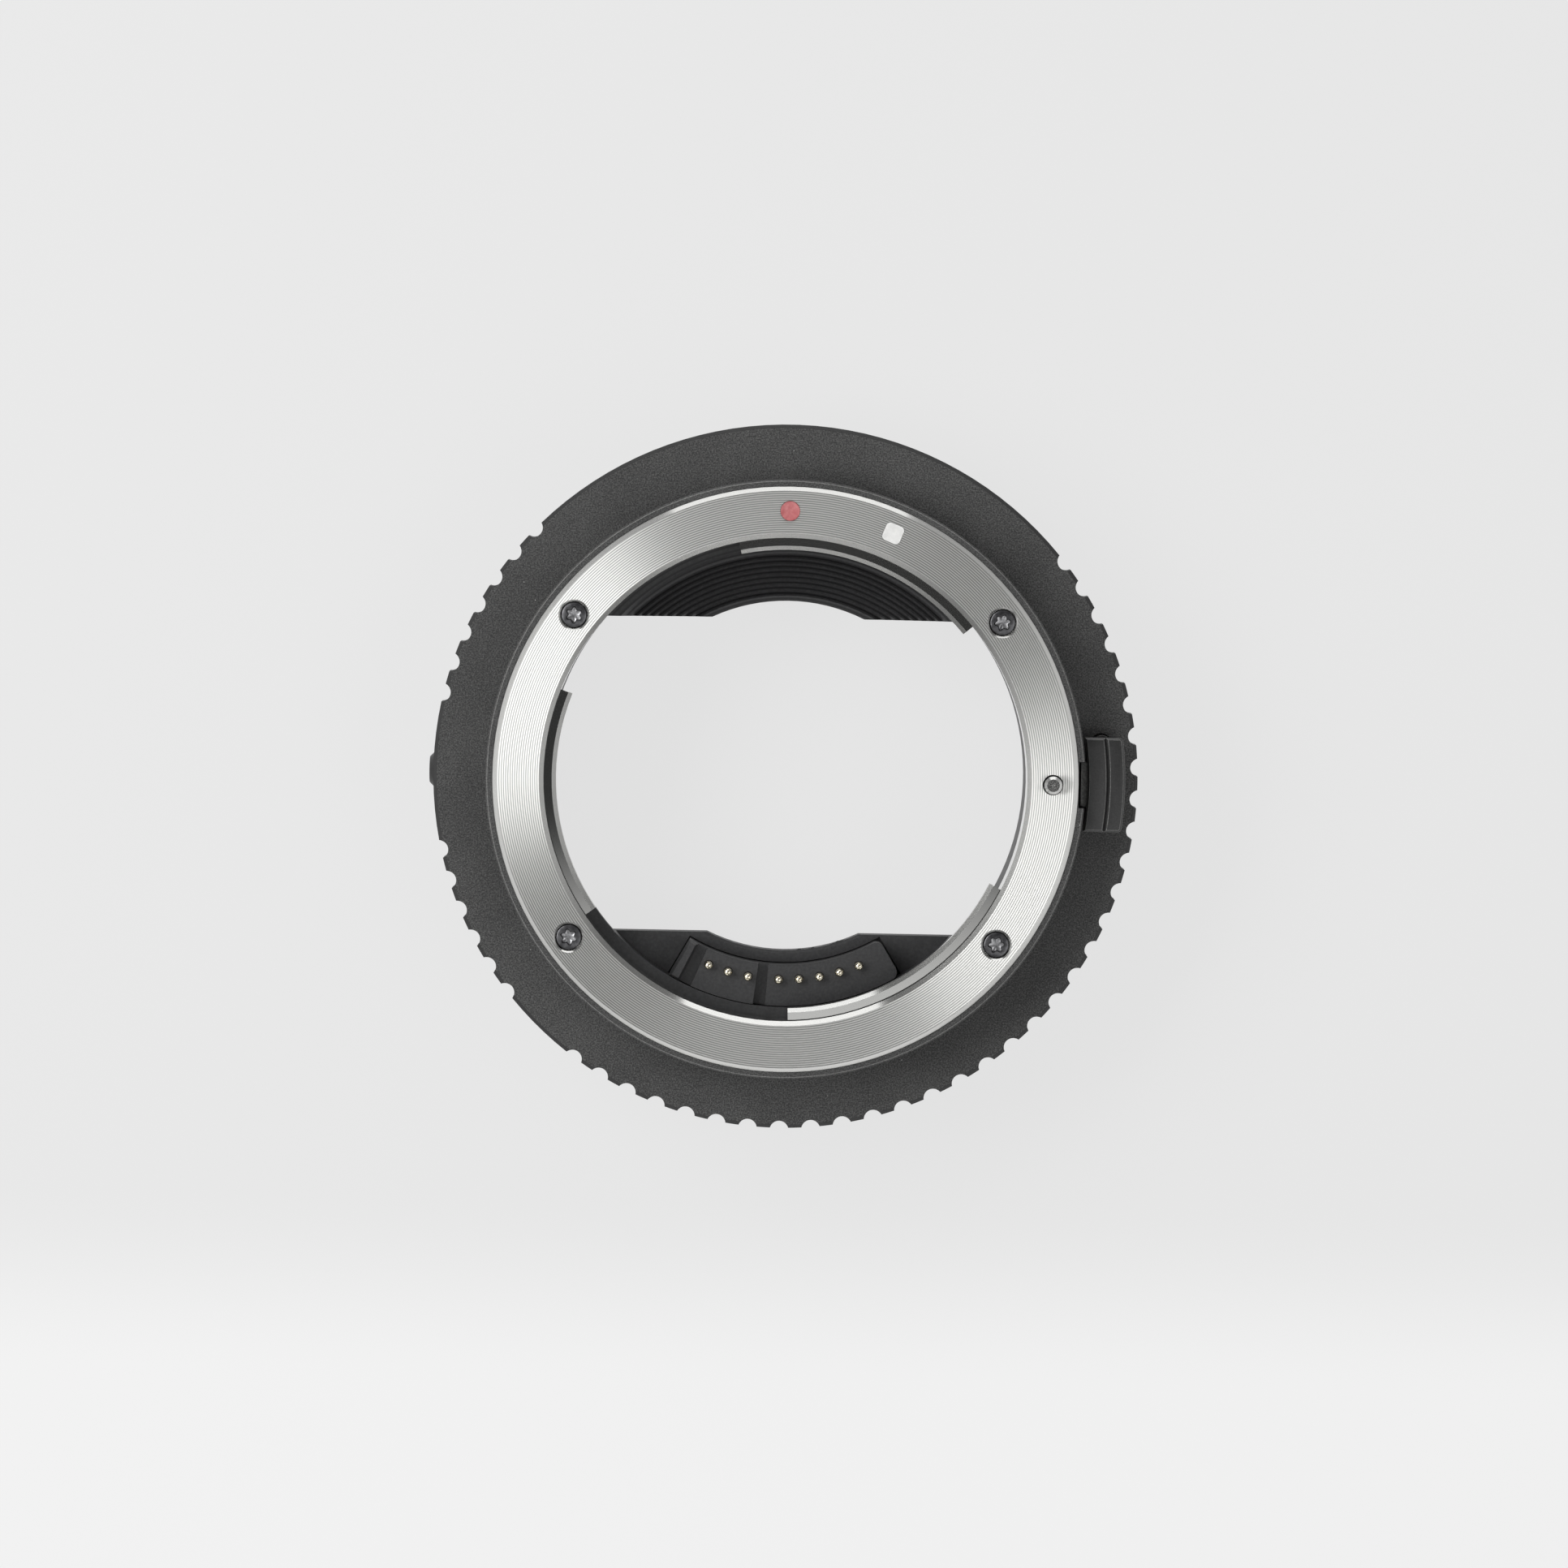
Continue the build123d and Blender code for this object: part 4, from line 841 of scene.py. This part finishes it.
# %% [markdown]
# ## Release lever
# The lever is a welded copy of its solid with the sharp edges broken. The rounded edges get
# a lighter black, a painted highlight that draws fine pale lines, and so does the top of the
# tongue, painted light that lifts it out of the shade of the collar's notch.

# %% Lever with broken edges
EDGE_BREAK = 0.1
SHARP_ANGLE = 30
TONGUE_END_MM = 33.75
lever_shape = bmesh.new()
lever_shape.from_mesh(nodes["release_lever"].data)
bmesh.ops.remove_doubles(lever_shape, verts=lever_shape.verts, dist=WELD_MM * MM)
bmesh.ops.dissolve_limit(
    lever_shape, angle_limit=math.radians(1), verts=lever_shape.verts, edges=lever_shape.edges
)
sharp = [
    e
    for e in lever_shape.edges
    if e.is_manifold and e.is_convex and e.calc_face_angle() > math.radians(SHARP_ANGLE)
]
rounded = bmesh.ops.bevel(
    lever_shape,
    geom=sharp,
    offset=EDGE_BREAK * MM,
    segments=3,
    profile=0.5,
    affect="EDGES",
    material=-1,
    clamp_overlap=True,
)
# rounded edges get the lighter black: painted highlight
for face in rounded["faces"]:
    face.material_index = 1
# top of the tongue gets the lighter black: painted light
for face in lever_shape.faces:
    on_tongue = face.calc_center_median().xy.length < TONGUE_END_MM * MM
    if on_tongue and face.normal.z > FLAT_COSINE:
        face.material_index = 1
lever = piece_from(lever_shape, "lever_with_broken_edges", smooth_black)
lever.data.materials.append(painted_light_black)
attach(lever, "lens_release")
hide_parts("release_lever")
print(lever.name, len(lever.data.polygons), "faces")


# %% [markdown]
# ## Moulding flash
# The moulded lip of the opening has three slivers of flash, where plastic crept into the seam
# of the mould. Each starts as a chain of edges along the arc. One extrusion makes it a strip,
# whose inner border is pulled in unevenly by two waves of unlike length and runs out at both
# ends. A second extrusion gives all strips their thickness.

# %% Flash on the lip
OPENING_R = 19.75
FLASH_Z = 7.55
FLASH_THICK = 0.08
FLASH_STEPS = 24
FLASH_SPANS = ((274.4, 277.2, 0.16), (278.6, 281.0, 0.13), (285.4, 291.2, 0.18))


def on_circle(radius, angle, height):
    """Point in metres, from millimetres and degrees round the axis."""
    turn = math.radians(angle)
    return (radius * MM * math.cos(turn), radius * MM * math.sin(turn), height * MM)


def uneven_radius(share, start, end, reach):
    """Radius of a sliver's inner border, at a share of its length."""
    jag = 0.6 + 0.25 * math.sin(9 * share + start) + 0.15 * math.sin(23 * share + end)
    return OPENING_R - reach * jag * math.sin(math.pi * share) ** 0.5


slivers = bmesh.new()
for start, end, reach in FLASH_SPANS:
    shares = [step / FLASH_STEPS for step in range(FLASH_STEPS + 1)]
    angles = [start + (end - start) * share for share in shares]
    chain = [slivers.verts.new(on_circle(OPENING_R + FLASH_THICK, a, FLASH_Z)) for a in angles]
    links = [slivers.edges.new(pair) for pair in zip(chain, chain[1:])]
    border = bmesh.ops.extrude_edge_only(slivers, edges=links)["geom"]
    for vert in (g for g in border if isinstance(g, bmesh.types.BMVert)):
        angle = math.degrees(math.atan2(vert.co.y, vert.co.x)) % 360
        share = min(max((angle - start) / (end - start), 0), 1)
        vert.co = on_circle(uneven_radius(share, start, end, reach), angle, FLASH_Z)
under = bmesh.ops.extrude_face_region(slivers, geom=slivers.faces[:])["geom"]
bmesh.ops.translate(
    slivers,
    vec=(0, 0, -FLASH_THICK * MM),
    verts=[g for g in under if isinstance(g, bmesh.types.BMVert)],
)
bmesh.ops.recalc_face_normals(slivers, faces=slivers.faces)
flash = piece_from(slivers, "moulding_flash", matt_black)
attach(flash, "adapter_body")
print(flash.name, len(flash.data.polygons), "faces")

# %% [markdown]
# ## Light seal
# A plug of black foam keeps light out of the corner of the contact block's window. It is a
# block, cut flush with the sloped wall behind the opening's lip.

# %% Foam plug
SEAL_R = (21.06, 22.6)
SEAL_SPAN = (297.0, 301.28)
SEAL_Z = (2.25, 7.3)
OPENING_HALF_HEIGHT = 17.8
LIP_BACK_Z = 5.5
RELIEF_SLOPE = 0.182
foam = bmesh.new()
corners = [(SEAL_R[0], SEAL_SPAN[0]), (SEAL_R[1], SEAL_SPAN[0])]
corners += [(SEAL_R[1], SEAL_SPAN[1]), (SEAL_R[0], SEAL_SPAN[1])]
outline = [foam.verts.new(on_circle(r, a, SEAL_Z[0])) for r, a in corners]
raised = bmesh.ops.extrude_face_region(foam, geom=[foam.faces.new(outline)])["geom"]
bmesh.ops.translate(
    foam,
    vec=(0, 0, (SEAL_Z[1] - SEAL_Z[0]) * MM),
    verts=[g for g in raised if isinstance(g, bmesh.types.BMVert)],
)
cut = bmesh.ops.bisect_plane(
    foam,
    geom=foam.verts[:] + foam.edges[:] + foam.faces[:],
    plane_co=(0, -OPENING_HALF_HEIGHT * MM, LIP_BACK_Z * MM),
    plane_no=(0, 1, -RELIEF_SLOPE),
    clear_outer=True,
)["geom_cut"]
open_edges = [g for g in cut if isinstance(g, bmesh.types.BMEdge)]
bmesh.ops.holes_fill(foam, edges=open_edges, sides=0)
bmesh.ops.recalc_face_normals(foam, faces=foam.faces)
seal = piece_from(foam, "light_seal_foam", matt_black)
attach(seal, "adapter_body")
print(seal.name, len(seal.data.polygons), "faces")

# %% [markdown]
# ## Bow spring
# The return spring is a steel strip that flattens as the lever goes down. A copy of its solid
# takes its place here, welded, because a frame solid may not change shape and a piece may.

# %% Spring as a welded copy
strip = bmesh.new()
strip.from_mesh(nodes["release_spring"].data)
bmesh.ops.remove_doubles(strip, verts=strip.verts, dist=WELD_MM * MM)
spring = piece_from(strip, "bow_spring", strip_steel)
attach(spring, "adapter_body")
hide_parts("release_spring")
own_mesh(spring)

# %% [markdown]
# ## Table
# The adapter lies on its camera side on a pale table, and the camera looks down on it. The
# table is one large sheet. To the camera and to metal it is a pale grey of its own, as a lit
# studio sweep is, and a share of plain paint keeps the soft shadow of the part. Towards the
# lower edge of the picture it gets a little lighter, where more light falls on a sweep.

# %% Floor
FLOOR_SIZE = 6.0
FLOOR_COLOUR = "#e7e7e7"
NEAR_COLOUR = "#f1f1f1"
NEAR_FROM_MM = -49.0
NEAR_TO_MM = -71.0
SHADOW_SHARE = 0.1

sheet = bmesh.new()
bmesh.ops.create_grid(sheet, x_segments=1, y_segments=1, size=FLOOR_SIZE / 2)
bmesh.ops.translate(sheet, vec=(0, 0, cad_box[0][2]), verts=sheet.verts)
paint, tree, shader, place = new_material("pale_table", Roughness=0.8)
along_y = add_node(tree, "ShaderNodeSeparateXYZ", links={"Vector": place}).outputs["Y"]
near = add_node(
    tree,
    "ShaderNodeMapRange",
    settings={"interpolation_type": "SMOOTHSTEP"},
    values={"From Min": NEAR_FROM_MM * MM, "From Max": NEAR_TO_MM * MM},
    links={"Value": along_y},
)
sweep = add_node(
    tree,
    "ShaderNodeMixRGB",
    values={"Color1": linear(FLOOR_COLOUR), "Color2": linear(NEAR_COLOUR)},
    links={"Fac": near.outputs["Result"]},
)
tree.links.new(sweep.outputs["Color"], shader.inputs["Base Color"])
glow = add_node(tree, "ShaderNodeEmission", links={"Color": sweep.outputs["Color"]})
shown = add_node(tree, "ShaderNodeMixShader", values={"Fac": SHADOW_SHARE})
tree.links.new(glow.outputs[0], shown.inputs[1])
tree.links.new(shader.outputs[0], shown.inputs[2])
path = add_node(tree, "ShaderNodeLightPath")
seen = add_node(
    tree,
    "ShaderNodeMath",
    settings={"operation": "MAXIMUM"},
    links={0: path.outputs["Is Camera Ray"], 1: path.outputs["Is Glossy Ray"]},
)
either = add_node(tree, "ShaderNodeMixShader", links={"Fac": seen.outputs[0]})
tree.links.new(shader.outputs[0], either.inputs[1])
tree.links.new(shown.outputs[0], either.inputs[2])
tree.links.new(either.outputs[0], tree.nodes["Material Output"].inputs["Surface"])
floor = piece_from(sheet, "table_sheet", paint)
print("table:", FLOOR_SIZE, "m wide,", FLOOR_COLOUR, "to", NEAR_COLOUR)

# %% [markdown]
# ## Studio light
# A long softbox hangs above the top edge of the picture and draws the white arc on the ring's
# bevel. A key light from the left and a weaker one from the lower right make the two bright
# fans on the turned face.

# %% Lamps
def softbox(name, place, aim, width, height, power):
    """Rectangular lamp at a place in metres, turned to its aim."""
    lamp = bpy.data.lights.new(name, "AREA")
    lamp.shape = "RECTANGLE"
    lamp.size = width
    lamp.size_y = height
    lamp.energy = power
    holder = bpy.data.objects.new(name, lamp)
    holder.location = place
    direction = Vector(aim) - Vector(place)
    holder.rotation_euler = direction.to_track_quat("-Z", "Y").to_euler()
    bpy.context.scene.collection.objects.link(holder)
    return holder


CENTRE = (0, 0, 0.01)
lamps = (
    softbox("overhead_box", (0.0, 0.8, 0.27), CENTRE, 0.8, 0.5, 1.9),
    softbox("key_left", (-0.305, 0.108, 0.33), CENTRE, 0.44, 0.19, 1.6),
    softbox("fill_right", (0.55, -0.22, 0.8), CENTRE, 0.8, 0.4, 1.8),
)
for lamp in lamps:
    print(lamp.name, round(lamp.data.energy, 2), "W")

# %% [markdown]
# ## Room
# The room is dim, darkest behind the camera, where the upper lugs look, lighter towards the
# lower edge of the picture and lightest far left, right and below, where the ring's bevels
# look. Just below the camera it has a soft pale patch, as the table in front of the part makes
# in the photograph, and the lugs mirror it, the lower the more. Each part is a level over one
# axis of the direction in which a ray leaves the scene. The patch is three steps over Y, each
# with its start, its end and the change of level between them.

# %% Room
PATCH_STEPS = (
    (-0.058, -0.084, 0.72),
    (-0.088, -0.16, 0.7),
    (-0.28, -0.45, -1.42),
)
world = bpy.data.worlds.new("dim_room")
world.use_nodes = True
room = world.node_tree
toward = add_node(room, "ShaderNodeTexCoord").outputs["Generated"]
way = add_node(room, "ShaderNodeSeparateXYZ", links={"Vector": toward})
sides = add_node(
    room,
    "ShaderNodeMapRange",
    values={"From Min": -1.0, "From Max": 1.0, "To Min": 0.46, "To Max": 0.2},
    links={"Value": way.outputs["Y"]},
)
behind_camera = add_node(
    room,
    "ShaderNodeMapRange",
    values={"From Min": 0.88, "From Max": 0.97, "To Min": 1.0, "To Max": 0.12},
    links={"Value": way.outputs["Z"]},
)
across = add_node(
    room, "ShaderNodeMath", settings={"operation": "ABSOLUTE"}, links={0: way.outputs["X"]}
)
below = add_node(
    room,
    "ShaderNodeMath",
    settings={"operation": "MULTIPLY"},
    values={1: -1.0},
    links={0: way.outputs["Y"]},
)
outward = add_node(
    room,
    "ShaderNodeMath",
    settings={"operation": "MAXIMUM"},
    links={0: across.outputs[0], 1: below.outputs[0]},
)
far_walls = add_node(
    room,
    "ShaderNodeMapRange",
    values={"From Min": 0.75, "From Max": 0.95, "To Min": 1.0, "To Max": 2.1},
    links={"Value": outward.outputs[0]},
)
level = sides.outputs["Result"]
for share in (behind_camera, far_walls):
    level = add_node(
        room,
        "ShaderNodeMath",
        settings={"operation": "MULTIPLY"},
        links={0: level, 1: share.outputs["Result"]},
    ).outputs[0]
patch = add_node(room, "ShaderNodeValue").outputs[0]
patch.default_value = 0.0
for start, end, change in PATCH_STEPS:
    step = add_node(
        room,
        "ShaderNodeMapRange",
        settings={"interpolation_type": "SMOOTHSTEP"},
        values={"From Min": start, "From Max": end, "To Min": 0.0, "To Max": change},
        links={"Value": way.outputs["Y"]},
    )
    patch = add_node(
        room,
        "ShaderNodeMath",
        settings={"operation": "ADD"},
        links={0: step.outputs["Result"], 1: patch},
    ).outputs[0]
overhead = add_node(
    room,
    "ShaderNodeMapRange",
    settings={"interpolation_type": "SMOOTHSTEP"},
    values={"From Min": 0.9, "From Max": 0.97},
    links={"Value": way.outputs["Z"]},
)
level = add_node(
    room,
    "ShaderNodeMath",
    settings={"operation": "MULTIPLY_ADD"},
    links={0: patch, 1: overhead.outputs["Result"], 2: level},
).outputs[0]
room.nodes["Background"].inputs["Color"].default_value = linear("#ffffff")
room.links.new(level, room.nodes["Background"].inputs["Strength"])
bpy.context.scene.world = world
print("room:", len(room.nodes), "nodes")

# %% [markdown]
# ## Camera
# The photograph looks almost along the optical axis, three degrees from above, with the part
# turned one degree clockwise. The distance and the lens follow from the scale of the ring:
# the picture is 174.8 mm wide at the lens seat.

# %% Camera
VIEW_DISTANCE = 0.770
VIEW_WIDTH = 0.1748
SENSOR_MM = 36.0
VIEW_TILT = 3.0
VIEW_ROLL = 1.05
AIM = Vector((-0.000145, -0.000425, 0.0173))

camera_data = bpy.data.cameras.new("front_view")
camera_data.sensor_width = SENSOR_MM
camera_data.lens = SENSOR_MM * VIEW_DISTANCE / VIEW_WIDTH
camera_data.clip_end = 20
camera = bpy.data.objects.new("front_view", camera_data)
tilt = math.radians(VIEW_TILT)
roll = math.radians(VIEW_ROLL)
back = Vector((0, math.sin(tilt), math.cos(tilt)))
up_hint = Vector((-math.sin(roll), math.cos(roll), 0))
right = up_hint.cross(back).normalized()
up = back.cross(right)
camera.matrix_world = Matrix.Translation(AIM + back * VIEW_DISTANCE) @ Matrix(
    (right, up, back)
).transposed().to_4x4()
bpy.context.scene.collection.objects.link(camera)
bpy.context.scene.camera = camera
bpy.context.scene.view_settings.view_transform = "Standard"
print("lens (mm):", round(camera_data.lens, 1))
